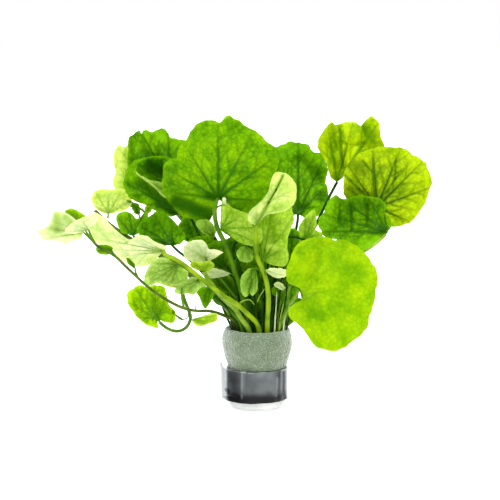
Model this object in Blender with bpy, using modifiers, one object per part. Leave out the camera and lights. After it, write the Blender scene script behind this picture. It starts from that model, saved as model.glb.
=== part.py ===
"""A bunch of Japanese cress, standing in a foam wrap that a wound lead strip weighs down.

Sizes are millimetres until the meshes are made, which are in metres. +Z is up and the front faces -Y.
The origin is the centre of the foam's foot. The strip is the common half inch (12.7 mm) one, and the
rest is in proportion to it.

The plant is laid out as it looks from the front. A place is given by how far across the foam's axis
and how high above its foot it appears to an eye in front of the bunch, and by how far forward of the
axis it really is. A leaf is a sheet that spreads from its joint, where the stalk meets it, out to a rim.
The rim of a cupped or notched leaf can't all be reached by straight lines from its joint: its sheet
spreads from its heart instead, a point well inside the blade.
"""

import math

import bmesh
import bpy
import numpy as np
from mathutils import Vector

MM = 0.001
COLLECTION = "japanese_cress"

# The eye in front of the bunch
EYE_DISTANCE = 700.0
EYE_TILT = math.radians(8.0)
VIEW_CENTER = Vector((-2.9, 0.0, 63.6))
VIEW_ACROSS = -2.9
VIEW_RISE = 62.2

# Foam wrap: its well from the floor to the mouth, then its side from the lip down over the bulge and
# the waist, which the strip squeezes, to the foot, as (radius, height)
FOAM_WELL = [(9.4, 4.0), (9.4, 23.0), (10.2, 29.0), (11.0, 31.5)]
FOAM_SIDE = [
    (12.2, 32.0), (13.2, 30.0), (13.9, 27.2), (13.8, 24.4), (12.9, 20.6), (11.8, 17.6),
    (11.2, 15.8), (11.2, 4.4), (10.7, 0.8), (9.8, 0.0),
]
FOAM_STEPS = 28

# Lead strip: wound clockwise seen from above, from its inner end at the front, over that end again and
# on to its outer end at the left
STRIP_HEIGHT = 12.7
STRIP_THICKNESS = 0.9
STRIP_BOTTOM = 3.6
STRIP_RADIUS = 12.05
STRIP_START = math.radians(250.0)
STRIP_END = math.radians(-188.0)
LAP_START = math.radians(-80.0)
LAP_TURN = math.radians(27.0)
LAP_GAP = 0.45
FLARE_START = math.radians(-120.0)
FLARE_TURN = math.radians(68.0)
FLARE = 0.9
CURL_START = 0.93
CURL_UP = 1.1
CURL_OUT = 0.55
STRIP_COLUMNS = 46
STRIP_ROWS = 2

# Leaves and stems
BLADE_THICKNESS = 0.5
WELD_DISTANCE = 0.02
GRIDS = {"large": (22, 3), "middle": (14, 2), "small": (10, 2)}
CUT_END_HEIGHT = 5.0
MOUTH_HEIGHT = 25.0
STEM_TAPER = 0.75
STEM_SPACING = 8.0
TUBE_RESOLUTION = 1

# Each leaf: its joint and its rim, from one side of the notch at the joint round to the other
LEAVES = [
    {
        "name": "leaf_crown",
        "tone": "deep",
        "grid": "large",
        "joint": (-15.7, 83.0, 4.0),
        "rim": [
            (-17.1, 76.6), (-19.3, 73.6), (-25.3, 74.2), (-29.6, 75.4), (-33.9, 79.8), (-37.6, 85.0),
            (-38.0, 91.0), (-37.8, 94.8), (-35.4, 97.9), (-32.3, 98.7), (-32.2, 101.4), (-28.3, 106.2),
            (-25.3, 111.8), (-20.9, 113.7), (-14.9, 113.6), (-11.5, 116.0), (-8.5, 114.1), (-3.9, 111.8),
            (0.7, 108.8), (3.0, 105.8), (6.8, 103.6), (8.2, 100.6), (7.3, 91.8), (5.1, 85.0), (0.3, 80.6),
            (-4.5, 76.7), (-9.3, 77.4), (-12.5, 79.8),
        ],
        "lean": 0.4,
        "dish": 1.5,
    },
    {
        "name": "leaf_left_back",
        "tone": "deep",
        "grid": "large",
        "joint": (-34.1, 89.0, -22.0),
        "rim": [
            (-43.7, 87.8), (-49.3, 90.2), (-51.7, 95.0), (-51.6, 101.4), (-50.9, 107.2), (-47.9, 109.8),
            (-46.5, 108.4, 1.0), (-45.5, 110.4, -2.0), (-42.1, 109.6), (-38.9, 110.8), (-35.9, 109.4),
            (-34.7, 107.3), (-31.7, 106.5), (-28.1, 106.2), (-22.9, 102.2), (-21.7, 96.2), (-24.5, 91.0),
        ],
        "lean": -0.4,
        "turn": 0.1,
        "dish": -1.0,
    },
    {
        "name": "leaf_left_rolled",
        "tone": "deep",
        "grid": "middle",
        "joint": (-34.1, 88.6, -6.0),
        "rim": [
            (-32.5, 98.2), (-37.7, 99.6), (-42.1, 99.7), (-46.3, 98.6), (-48.3, 96.2), (-48.8, 93.4),
            (-45.3, 90.9), (-41.3, 87.6), (-37.3, 83.4), (-34.1, 82.6),
        ],
        "turn": -0.4,
        "dish": -4.0,
    },
    {
        "name": "leaf_left_lower",
        "tone": "deep",
        "grid": "large",
        "joint": (-30.9, 76.6, -14.5),
        "rim": [
            (-34.5, 75.6), (-39.5, 77.9), (-42.9, 79.2), (-45.7, 80.8), (-48.1, 81.7), (-50.5, 82.7),
            (-52.1, 84.6), (-53.3, 91.0), (-51.3, 95.8), (-46.1, 99.0), (-39.7, 98.2), (-34.1, 94.2),
            (-29.3, 87.8), (-27.7, 81.4),
        ],
        "lean": -0.3,
        "turn": -0.2,
        "dish": -0.6,
    },
    {
        "name": "leaf_far_left",
        "tone": "lime",
        "grid": "middle",
        "joint": (-42.9, 87.8, -36.0),
        "rim": [
            (-46.9, 84.2), (-50.5, 83.8), (-54.9, 85.0), (-57.9, 88.6), (-56.7, 93.8), (-57.5, 99.0),
            (-55.4, 104.0), (-53.3, 103.4), (-50.9, 105.8), (-46.1, 103.8), (-42.1, 98.2), (-40.5, 92.6),
        ],
        "lean": -0.2,
        "turn": 0.35,
        "dish": 1.0,
    },
    {
        "name": "leaf_pale_round",
        "tone": "lime",
        "grid": "middle",
        "joint": (-59.6, 76.7, -13.4),
        "heart": (-58.9, 79.4, -14.0),
        "rim": [
            (-60.7, 76.9), (-61.9, 77.2), (-64.5, 78.8), (-66.3, 82.2), (-65.0, 85.6), (-61.7, 86.6),
            (-57.7, 86.3), (-53.7, 86.6), (-50.9, 84.6), (-50.3, 80.4), (-52.5, 78.4), (-55.9, 77.3),
            (-58.3, 76.8),
        ],
        "lean": -0.4,
        "dish": 0.3,
    },
    {
        "name": "leaf_tip_fold",
        "tone": "mint",
        "grid": "middle",
        "joint": (-69.5, 69.3, 34.6),
        "rim": [
            (-70.9, 66.4), (-76.5, 64.8), (-80.9, 66.0), (-85.3, 66.3), (-87.5, 68.4), (-87.6, 69.9),
            (-84.7, 71.2, -1.0), (-82.8, 73.3, -3.0), (-80.9, 77.7, -6.0), (-78.3, 77.6, -6.0),
            (-72.6, 74.5, -4.0), (-70.1, 71.8, -2.0),
        ],
        "lean": 0.4,
        "turn": -0.02,
        "dish": 0.6,
    },
    {
        "name": "leaf_tip_back",
        "tone": "fresh",
        "grid": "small",
        "joint": (-68.5, 69.6, 31.8),
        "rim": [
            (-70.9, 71.0), (-74.9, 73.8), (-77.2, 76.2), (-76.7, 78.0), (-74.5, 78.8), (-71.3, 77.6),
            (-68.7, 75.8), (-67.7, 72.6),
        ],
        "lean": -0.5,
    },
    {
        "name": "leaf_tip_mint",
        "tone": "mint",
        "grid": "small",
        "joint": (-67.5, 70.2, 37.6),
        "rim": [
            (-70.9, 69.2), (-73.9, 68.8), (-76.8, 69.5), (-73.9, 73.1), (-69.3, 75.3), (-64.3, 76.7),
            (-63.5, 75.0), (-65.3, 72.2),
        ],
        "lean": 0.6,
        "dish": 0.6,
    },
    {
        "name": "leaf_pale_long",
        "tone": "mint",
        "grid": "large",
        "joint": (-37.5, 61.8, 16.0),
        "heart": (-54.9, 63.4, 19.8),
        "rim": [
            (-40.5, 58.6), (-43.7, 56.0), (-50.1, 55.8), (-54.5, 58.4), (-59.3, 62.7), (-64.1, 64.6),
            (-66.5, 66.8), (-67.6, 71.0), (-66.5, 74.2), (-64.3, 76.6), (-61.7, 75.4), (-59.3, 73.0),
            (-55.3, 69.2), (-50.5, 66.4), (-47.7, 68.0), (-44.9, 67.9), (-40.7, 65.4), (-36.5, 62.7),
        ],
        "lean": 0.8,
        "turn": -0.1,
        "dish": 0.4,
    },
    {
        "name": "leaf_green_mid",
        "tone": "deep",
        "grid": "middle",
        "joint": (-34.1, 64.2, 0.0),
        "rim": [
            (-38.9, 63.8), (-42.9, 66.0), (-46.9, 68.2), (-48.3, 70.8), (-44.5, 74.4), (-40.1, 77.6),
            (-37.3, 77.4), (-34.7, 75.1), (-31.1, 71.2), (-28.5, 66.7), (-30.7, 64.2),
        ],
        "lean": -0.4,
        "dish": -1.5,
    },
    {
        "name": "leaf_green_small",
        "tone": "deep",
        "grid": "small",
        "joint": (-49.7, 67.8, -8.0),
        "rim": [
            (-54.1, 69.0), (-55.7, 71.8), (-56.1, 76.2), (-53.9, 77.6), (-50.5, 77.0), (-48.1, 74.6),
            (-44.3, 78.0), (-43.7, 73.4), (-46.9, 69.0),
        ],
        "lean": -0.5,
    },
    {
        "name": "leaf_lower_left",
        "tone": "fresh",
        "grid": "large",
        "joint": (-40.1, 34.6, 14.0),
        "rim": [
            (-39.4, 30.7), (-42.2, 31.4), (-46.2, 33.5), (-49.6, 37.5), (-51.7, 41.2), (-51.7, 44.6),
            (-49.9, 46.6), (-47.4, 48.0), (-43.7, 47.6), (-39.8, 48.2), (-37.0, 47.3), (-36.1, 43.6),
            (-35.1, 40.2), (-32.4, 36.9), (-33.6, 33.0), (-36.5, 33.2),
        ],
        "lean": -0.5,
        "turn": 0.3,
        "dish": -1.0,
    },
    {
        "name": "leaf_young",
        "tone": "lime",
        "grid": "small",
        "joint": (-26.3, 34.4, 17.4),
        "heart": (-21.7, 34.0, 17.7),
        "rim": [
            (-25.5, 33.2), (-23.3, 31.8), (-19.6, 32.8), (-16.1, 34.1), (-16.1, 36.6), (-20.2, 36.4),
            (-23.2, 35.4), (-24.9, 35.0),
        ],
        "lean": 0.3,
        "dish": 0.2,
    },
    {
        "name": "leaf_veined_left",
        "tone": "pale",
        "grid": "middle",
        "joint": (-31.7, 56.4, 15.5),
        "rim": [
            (-35.7, 58.5), (-38.9, 59.1), (-41.7, 57.7), (-43.5, 55.2), (-45.2, 51.0), (-44.9, 48.5),
            (-42.7, 47.8), (-40.7, 48.8), (-35.5, 47.5), (-31.7, 47.2), (-28.5, 49.0), (-27.7, 53.4),
        ],
        "lean": 0.3,
        "turn": -0.15,
        "dish": -0.8,
    },
    {
        "name": "leaf_veined_low",
        "tone": "pale",
        "grid": "middle",
        "joint": (-22.9, 50.6, 16.0),
        "rim": [
            (-26.1, 51.6), (-29.3, 49.6), (-32.3, 47.5), (-33.0, 45.2), (-30.9, 44.4), (-27.8, 44.8),
            (-25.9, 44.2), (-22.6, 46.9), (-20.5, 47.8),
        ],
        "lean": -0.1,
        "dish": 0.5,
    },
    {
        "name": "leaf_pale_mid",
        "tone": "mint",
        "grid": "middle",
        "joint": (-20.5, 58.8, 7.0),
        "rim": [
            (-21.5, 56.8), (-24.8, 56.7), (-26.9, 57.7), (-29.3, 59.4), (-29.7, 61.4), (-29.3, 64.2),
            (-26.9, 65.7), (-24.5, 66.2), (-22.0, 66.1), (-20.3, 64.6), (-19.3, 62.5), (-17.3, 62.5),
            (-13.6, 61.2), (-16.5, 59.2), (-18.9, 57.6),
        ],
        "lean": 0.5,
        "turn": 0.2,
        "dish": 1.0,
    },
    {
        "name": "leaf_yellow_small",
        "tone": "lime",
        "grid": "small",
        "joint": (-21.3, 53.6, 9.5),
        "rim": [
            (-24.1, 54.2), (-26.9, 56.0), (-26.1, 57.6), (-22.5, 57.2), (-18.9, 57.8), (-17.1, 56.0),
            (-19.1, 54.0),
        ],
        "lean": 0.5,
    },
    {
        "name": "leaf_pale_small",
        "tone": "mint",
        "grid": "small",
        "joint": (-10.7, 52.8, 4.6),
        "rim": [
            (-11.9, 52.1), (-13.1, 51.8), (-15.9, 51.2), (-19.3, 51.2), (-20.6, 53.2), (-19.1, 54.6),
            (-16.5, 54.7), (-14.1, 54.0), (-12.1, 53.4),
        ],
        "lean": 0.6,
        "turn": 0.02,
    },
    {
        "name": "leaf_grey_small",
        "tone": "pale",
        "grid": "small",
        "joint": (-17.1, 67.4, -4.0),
        "rim": [
            (-19.7, 67.6), (-22.8, 70.0), (-24.5, 73.4), (-22.5, 74.4), (-19.3, 74.0), (-17.2, 71.8),
            (-16.5, 69.4),
        ],
        "lean": 0.5,
        "dish": 0.5,
    },
    {
        "name": "leaf_triangle",
        "tone": "fresh",
        "grid": "small",
        "joint": (-18.7, 47.2, 10.5),
        "rim": [
            (-21.7, 47.6), (-24.7, 46.8), (-23.1, 43.2), (-20.8, 38.8), (-18.5, 41.8), (-17.1, 45.0),
        ],
        "lean": -0.3,
    },
    {
        "name": "leaf_fold_center",
        "tone": "pale",
        "grid": "middle",
        "joint": (-14.3, 71.0, 8.4),
        "rim": [
            (-14.7, 74.2, 1.0), (-13.5, 82.2, -2.0), (-10.5, 79.6, -2.0), (-6.9, 77.8, -2.0),
            (-3.9, 76.6, -1.0), (-2.9, 73.4, 0.5), (-1.1, 71.2, 1.0), (1.7, 70.2, 1.0), (1.4, 65.2, -1.0),
            (-2.5, 63.8, -2.0), (-7.5, 65.4, -2.0), (-11.3, 68.3, -1.0),
        ],
        "turn": 0.12,
        "dish": 1.0,
    },
    {
        "name": "leaf_white_right",
        "tone": "mint",
        "grid": "middle",
        "joint": (-0.3, 71.8, 14.8),
        "heart": (3.5, 79.4, 15.6),
        "rim": [
            (-3.1, 73.6, -1.0), (-3.5, 76.4, -2.0), (0.7, 80.4, -3.0), (5.1, 85.8, -3.0),
            (7.1, 92.5, -3.0), (10.4, 93.2, 1.0), (13.9, 90.8, -1.0), (15.6, 86.2, -3.0),
            (14.7, 81.4, -4.0), (11.9, 78.4, -4.0), (8.3, 77.4, -3.0), (3.7, 76.4, -1.5),
        ],
        "lean": -0.05,
        "turn": 0.15,
        "dish": 0.6,
    },
    {
        "name": "leaf_lime_center",
        "tone": "lime",
        "grid": "middle",
        "joint": (2.3, 58.2, 8.2),
        "rim": [
            (-0.5, 63.8, -1.5), (-1.1, 69.4, -2.5), (1.9, 76.6, -1.5), (5.1, 80.2), (9.5, 79.8),
            (13.3, 79.2), (14.6, 75.0), (13.1, 69.8), (11.8, 65.0), (12.3, 60.6), (10.8, 56.0),
            (7.8, 56.2), (4.5, 57.2),
        ],
        "lean": -0.12,
        "turn": 0.3,
        "dish": -1.0,
    },
    {
        "name": "leaf_white_small",
        "tone": "mint",
        "grid": "small",
        "joint": (3.2, 54.1, 12.5),
        "rim": [
            (4.5, 52.8), (7.4, 51.2), (11.1, 51.5), (12.0, 53.6), (8.8, 54.7), (5.1, 54.8),
        ],
        "lean": 1.2,
        "turn": 0.25,
    },
    {
        "name": "leaf_pleated",
        "tone": "pale",
        "grid": "middle",
        "joint": (-0.7, 55.2, 9.2),
        "rim": [
            (-3.9, 54.8), (-6.3, 51.8), (-6.7, 47.8, 1.0), (-5.8, 44.2), (-4.5, 43.4), (-3.2, 44.8, -1.5),
            (-1.9, 43.8, 0.5), (-0.3, 45.6), (0.4, 49.4),
        ],
        "lean": -0.3,
        "dish": 0.8,
    },
    {
        "name": "leaf_hooded",
        "tone": "pale",
        "grid": "small",
        "joint": (-4.1, 63.8, 5.6),
        "rim": [
            (-6.9, 63.4), (-8.3, 60.8), (-7.1, 58.2), (-4.3, 57.2), (-1.8, 58.2), (-1.7, 61.6),
        ],
        "lean": -0.3,
        "dish": 1.2,
    },
    {
        "name": "leaf_right_back",
        "tone": "deep",
        "grid": "large",
        "joint": (16.3, 76.6, -20.0),
        "rim": [
            (10.7, 75.0), (6.3, 80.6), (5.1, 87.8), (4.9, 95.8), (6.5, 102.8), (10.7, 105.0),
            (15.5, 105.5), (19.8, 104.4), (22.4, 101.6), (25.1, 101.2), (27.2, 97.9), (28.3, 94.0),
            (27.0, 90.1), (28.0, 86.6), (28.3, 82.6), (25.5, 77.4), (20.7, 74.0),
        ],
        "lean": -0.4,
        "turn": 0.2,
        "dish": -1.0,
    },
    {
        "name": "leaf_cup_top",
        "tone": "lime",
        "grid": "large",
        "joint": (32.0, 89.4, -12.0),
        "heart": (36.3, 104.2, -19.0),
        "rim": [
            (29.3, 91.2, 2.0), (27.1, 97.8, 5.0), (24.1, 103.6, 7.0), (25.5, 108.8, 7.5),
            (29.2, 113.2, 5.0), (30.9, 112.0, -2.0), (35.5, 113.3, -5.5), (39.1, 113.3, -5.0),
            (41.7, 111.6, -2.0), (44.1, 114.4, 3.0), (46.0, 115.7, 5.0), (48.8, 112.6, 6.5),
            (49.5, 107.8, 6.5), (50.8, 103.1, 4.0), (45.5, 101.2, 3.0), (40.5, 99.8, 1.5),
            (36.7, 95.4, 1.0), (34.9, 91.8, 0.5),
        ],
        "lean": -0.3,
    },
    {
        "name": "leaf_right_veined",
        "tone": "lime",
        "grid": "large",
        "joint": (47.9, 79.4, -2.0),
        "rim": [
            (49.1, 72.6), (53.5, 71.4), (57.1, 71.8), (61.1, 73.2), (65.7, 78.7), (68.8, 85.4),
            (69.4, 91.0), (68.4, 94.8), (65.9, 98.0), (61.7, 100.6), (57.3, 103.1), (50.9, 103.0),
            (44.3, 101.9), (40.5, 100.0), (36.9, 96.6), (35.1, 91.8), (35.0, 84.0), (37.9, 79.0),
            (42.3, 75.8),
        ],
        "lean": 0.35,
        "turn": -0.2,
        "dish": -0.8,
    },
    {
        "name": "leaf_cup_mid",
        "tone": "deep",
        "grid": "large",
        "joint": (52.1, 69.6, 10.0),
        "heart": (40.3, 73.4, 5.4),
        "rim": [
            (48.3, 66.2, -1.0), (45.1, 63.6, -2.0), (42.1, 61.8, -2.0), (37.1, 63.8, -1.0), (31.5, 66.6),
            (26.4, 68.4), (24.8, 73.8), (27.1, 78.2), (28.7, 81.8), (31.3, 84.1), (33.9, 82.6),
            (36.7, 82.9), (40.3, 84.2), (44.3, 83.8), (49.1, 82.6), (51.8, 79.9), (50.9, 77.0),
            (53.2, 74.6), (53.3, 71.0),
        ],
        "lean": -0.35,
        "turn": -0.06,
        "dish": -0.8,
    },
    {
        "name": "leaf_front_right",
        "tone": "lime",
        "grid": "large",
        "joint": (18.3, 44.2, 26.0),
        "heart": (24.3, 46.2, 25.2),
        "rim": [
            (17.2, 40.8), (14.9, 40.0), (12.8, 38.6), (12.9, 35.4), (16.4, 32.4), (20.4, 27.6),
            (23.2, 23.8), (29.1, 21.7), (34.7, 23.2), (39.3, 26.3), (43.9, 31.9), (45.4, 37.6),
            (47.0, 43.8), (48.1, 49.8), (47.0, 54.9), (43.4, 60.0), (39.3, 63.6), (35.5, 66.2),
            (30.7, 66.0), (25.5, 67.5), (19.4, 66.2), (14.8, 62.6), (12.8, 57.4), (11.7, 53.0),
            (12.4, 49.2), (14.8, 48.3), (16.9, 47.2),
        ],
        "lean": -0.4,
        "turn": -0.15,
        "dish": 0.8,
    },
    {
        "name": "leaf_right_small",
        "tone": "fresh",
        "grid": "small",
        "joint": (19.1, 66.4, 2.0),
        "rim": [
            (16.9, 67.8), (16.5, 71.0), (18.3, 74.2), (22.7, 78.2), (23.7, 73.4), (22.9, 68.6),
        ],
        "lean": 0.1,
    },
    {
        "name": "leaf_inner_left",
        "tone": "deep",
        "grid": "middle",
        "joint": (-13.5, 55.0, -1.0),
        "rim": [
            (-17.7, 55.4), (-20.5, 59.0), (-20.1, 63.4), (-16.1, 65.8), (-12.5, 64.2), (-11.1, 59.8),
            (-11.3, 56.6),
        ],
        "lean": 0.5,
        "dish": -0.5,
    },
    {
        "name": "leaf_inner_low",
        "tone": "deep",
        "grid": "middle",
        "joint": (-8.3, 43.8, 1.0),
        "rim": [
            (-12.5, 45.0), (-16.9, 47.8), (-18.7, 51.4), (-15.3, 53.4), (-11.5, 52.2), (-8.5, 49.4),
            (-6.9, 46.6),
        ],
        "lean": -0.25,
        "dish": -0.3,
    },
]

# Each stem: its radius at the foot, its slot in the foam's well, and its route out of the foam
STEMS = [
    {
        "name": "stem_crown",
        "radius": 1.15,
        "slot": (-2.6, -4.4),
        "route": [
            (-5.7, 42.2, 4.6), (-7.4, 49.0, 4.8), (-9.0, 53.5, 4.6), (-10.9, 59.6, 5.5),
            (-13.5, 66.0, 6.0), (-16.0, 71.2, 6.6), (-17.0, 76.6, 8.0), (-16.8, 80.0, 8.0),
            (-16.2, 81.9, 6.8),
        ],
    },
    {
        "name": "stem_arch_left",
        "radius": 1.1,
        "slot": (1.1, -6.9),
        "route": [
            (-0.3, 33.0, 9.0), (-3.6, 36.4, 11.0), (-8.1, 40.4, 13.5), (-13.7, 44.0, 16.5),
            (-18.6, 47.9, 18.5), (-23.2, 51.4, 19.2), (-26.3, 54.0, 19.2), (-30.9, 57.4, 18.8),
            (-34.5, 59.4, 18.0), (-36.9, 60.3, 16.9),
        ],
    },
    {
        "name": "stem_second",
        "radius": 1.2,
        "slot": (-1.9, -7.3),
        "route": [
            (-3.9, 31.4, 8.0), (-7.0, 35.6, 9.0), (-8.7, 38.6, 9.2), (-12.1, 41.4, 9.2),
            (-16.9, 46.6, 9.0), (-19.5, 50.2, 9.2), (-21.1, 53.0, 9.4),
        ],
    },
    {
        "name": "stem_low_left",
        "radius": 0.7,
        "slot": (-6.9, -2.6),
        "route": [
            (-8.5, 33.2, 4.0), (-13.3, 36.0, 8.0), (-19.3, 37.8, 13.0), (-24.9, 37.9, 17.0),
            (-29.3, 38.9, 19.0), (-34.9, 41.5, 21.0), (-42.9, 46.8, 23.5), (-50.9, 54.0, 27.0),
            (-58.1, 60.6, 30.0), (-63.7, 63.6, 31.8), (-66.7, 66.8, 34.4),
        ],
    },
    {
        "name": "stem_upper_left",
        "radius": 1.0,
        "slot": (-6.7, 1.0),
        "route": [
            (-7.7, 33.4, -1.8), (-16.9, 43.0, -4.0), (-28.9, 53.4, -8.0), (-40.9, 61.0, -11.0),
            (-49.8, 66.2, -13.0), (-55.1, 69.6, -13.5), (-60.2, 73.5, -13.0), (-64.4, 77.4, -11.0),
        ],
    },
    {
        "name": "stem_front",
        "radius": 1.15,
        "slot": (4.1, -6.6),
        "route": [
            (4.1, 34.2, 8.0), (4.4, 39.0, 9.0), (4.4, 44.2, 10.0), (3.5, 50.2, 10.4), (2.0, 54.6, 10.6),
            (0.3, 58.4, 11.4), (-0.7, 64.6, 13.0), (-0.5, 69.8, 14.4),
        ],
    },
    {
        "name": "stalk_hook",
        "radius": 0.85,
        "slot": (-5.1, -5.3),
        "route": [
            (-6.9, 33.4, 6.0), (-12.9, 39.8, 6.0), (-19.7, 45.0, 6.0), (-24.9, 48.4, 7.5),
            (-28.1, 48.8, 8.5), (-29.8, 46.6, 9.0), (-29.5, 43.4, 9.5), (-27.8, 39.0, 10.5),
            (-26.7, 35.0, 12.0), (-27.9, 31.8, 13.0), (-30.7, 29.9, 15.0), (-34.3, 30.1, 17.2),
            (-37.1, 31.6, 18.2), (-38.9, 33.2, 17.0),
        ],
        "spacing": 5.0,
    },
    {
        "name": "stalk_left_back",
        "radius": 0.75,
        "slot": (-1.5, 4.2),
        "route": [
            (-6.9, 40.2, -6.0), (-14.1, 55.0, -10.0), (-22.1, 70.2, -15.0), (-28.9, 81.0, -20.0),
            (-33.5, 88.2, -22.0),
        ],
    },
    {
        "name": "stalk_left_rolled",
        "radius": 0.7,
        "slot": (-4.1, 2.3),
        "route": [
            (-8.5, 40.2, -3.5), (-14.9, 53.4, -6.0), (-22.1, 66.2, -8.0), (-27.7, 77.4, -8.2),
            (-33.5, 87.8, -6.6),
        ],
    },
    {
        "name": "stalk_left_lower",
        "radius": 0.7,
        "slot": (-6.4, 3.2),
        "route": [
            (-11.3, 42.2, -6.0), (-18.1, 53.4, -10.5), (-24.5, 66.2, -15.5), (-30.2, 75.6, -15.4),
        ],
    },
    {
        "name": "stalk_far_left",
        "radius": 0.7,
        "slot": (-3.5, 6.3),
        "route": [
            (-8.5, 40.2, -12.0), (-18.1, 57.4, -20.0), (-30.9, 75.0, -31.0), (-41.9, 86.8, -36.0),
        ],
    },
    {
        "name": "stalk_pale_round",
        "radius": 0.5,
        "slot": None,
        "route": [
            (-59.9, 74.8, -13.2), (-59.7, 75.6, -13.4), (-59.6, 76.3, -13.6),
        ],
    },
    {
        "name": "stalk_green_mid",
        "radius": 0.7,
        "slot": (-3.7, -1.6),
        "route": [
            (-7.7, 37.4, 2.0), (-16.5, 47.0, 2.8), (-26.1, 57.4, 1.4), (-33.5, 63.5, 0.2),
        ],
    },
    {
        "name": "stalk_green_small",
        "radius": 0.65,
        "slot": (-7.8, -0.9),
        "route": [
            (-12.5, 40.2, 0.0), (-26.9, 53.4, -5.0), (-39.7, 61.6, -8.0), (-49.0, 67.3, -8.2),
        ],
    },
    {
        "name": "stalk_pale_mid",
        "radius": 0.65,
        "slot": (-1.3, -1.9),
        "route": [
            (-5.6, 38.2, 1.6), (-11.7, 47.0, 3.4), (-17.3, 53.8, 1.8), (-20.1, 58.0, 5.2),
        ],
    },
    {
        "name": "stem_inner",
        "radius": 0.8,
        "slot": (-1.1, 1.0),
        "route": [
            (-4.5, 37.4, -0.8), (-7.1, 43.8, -1.4), (-11.1, 53.4, -3.4), (-14.5, 62.2, -4.4),
            (-16.8, 66.8, -4.2),
        ],
    },
    {
        "name": "stalk_hooded",
        "radius": 0.75,
        "slot": (0.7, -3.6),
        "route": [
            (-1.9, 36.2, 3.6), (-5.1, 47.8, 3.8), (-7.7, 57.4, 4.0), (-9.5, 62.2, 4.4), (-8.9, 64.9, 4.6),
            (-6.7, 66.0, 5.0), (-5.6, 65.8, 5.4),
        ],
    },
    {
        "name": "stalk_right_back",
        "radius": 0.75,
        "slot": (2.9, 4.6),
        "route": [
            (7.9, 40.2, -8.0), (11.5, 56.2, -14.0), (15.5, 70.2, -19.0), (16.3, 76.0, -20.0),
        ],
    },
    {
        "name": "stalk_cup_top",
        "radius": 0.75,
        "slot": (5.7, 2.2),
        "route": [
            (10.3, 40.2, -4.0), (17.1, 57.4, -8.0), (25.9, 77.4, -11.4), (31.6, 88.7, -12.0),
        ],
    },
    {
        "name": "stalk_right_veined",
        "radius": 0.75,
        "slot": (7.8, 0.5),
        "route": [
            (12.3, 38.2, 0.0), (21.9, 54.2, -1.0), (35.1, 68.6, -1.4), (43.5, 76.0, 1.2),
            (47.1, 78.7, 0.8),
        ],
    },
    {
        "name": "stalk_cup_mid",
        "radius": 0.75,
        "slot": (7.1, -1.9),
        "route": [
            (11.5, 37.4, 3.0), (18.7, 48.6, 5.5), (29.9, 56.6, 8.0), (42.1, 61.2, 12.0),
            (47.9, 65.1, 14.2), (51.3, 68.3, 13.0),
        ],
    },
    {
        "name": "stalk_front_right",
        "radius": 0.7,
        "slot": (5.6, -3.9),
        "route": [
            (9.3, 33.4, 6.6), (11.1, 37.0, 9.0), (12.2, 41.4, 12.5), (12.6, 46.2, 15.5),
            (13.7, 48.4, 18.2), (15.9, 47.6, 21.0), (17.6, 45.5, 23.4),
        ],
    },
    {
        "name": "stalk_right_small",
        "radius": 0.6,
        "slot": (4.1, -1.2),
        "route": [
            (5.9, 38.2, 2.0), (7.5, 50.2, 2.6), (8.9, 62.2, 3.0), (11.5, 67.0, 3.2), (15.1, 67.4, 3.0),
            (17.9, 66.5, 2.6),
        ],
    },
]


def spot(across, rise, forward):
    """Return the point that appears at (across, rise) from the front and lies forward of the axis."""
    ahead = Vector((0.0, math.cos(EYE_TILT), -math.sin(EYE_TILT)))
    above = Vector((0.0, math.sin(EYE_TILT), math.cos(EYE_TILT)))
    eye = VIEW_CENTER - EYE_DISTANCE * ahead
    seen = VIEW_CENTER + Vector((across - VIEW_ACROSS, 0.0, 0.0)) + above * float(rise - VIEW_RISE)
    ray = seen - eye
    reach = float(-forward - eye.y) / ray.y
    return eye + reach * ray


def smooth_path(points, samples):
    """Return points at the shares `samples` of the way along a smooth curve through `points`."""
    points = np.array(points, dtype=float)
    steps = np.linalg.norm(np.diff(points, axis=0), axis=1)
    along = np.concatenate(([0.0], np.cumsum(steps))) / steps.sum()
    slopes = np.gradient(points, along, axis=0)
    samples = np.asarray(samples, dtype=float)
    piece = np.clip(np.searchsorted(along, samples, side="right") - 1, 0, len(along) - 2)
    span = (along[piece + 1] - along[piece])[:, None]
    share = (samples - along[piece])[:, None] / span
    return (
        (2 * share**3 - 3 * share**2 + 1) * points[piece]
        + (share**3 - 2 * share**2 + share) * span * slopes[piece]
        + (3 * share**2 - 2 * share**3) * points[piece + 1]
        + (share**3 - share**2) * span * slopes[piece + 1]
    )


def smooth_step(share):
    """Ease a share from 0 to 1 in and out."""
    return share * share * (3.0 - 2.0 * share)


def bulge(share):
    """Return 0 at both ends of a span and 1 at its middle."""
    return 4.0 * share * (1.0 - share)


def material(name, color, roughness, metallic):
    """Return a plain material of the given colour and finish."""
    made = bpy.data.materials.new(name)
    made.use_nodes = True
    shader = made.node_tree.nodes["Principled BSDF"]
    shader.inputs["Base Color"].default_value = (*color, 1.0)
    shader.inputs["Roughness"].default_value = roughness
    shader.inputs["Metallic"].default_value = metallic
    return made


def add_object(name, data, look):
    """Put a mesh or curve into the part's collection as one named sub-part."""
    piece = bpy.data.objects.new(name, data)
    data.materials.append(look)
    bpy.data.collections[COLLECTION].objects.link(piece)
    return piece


def solidify(piece, thickness):
    """Give an open sheet its thickness, half to each side."""
    wall = piece.modifiers.new("thickness", "SOLIDIFY")
    wall.thickness = thickness * MM
    wall.offset = 0.0
    wall.use_even_offset = False


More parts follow.
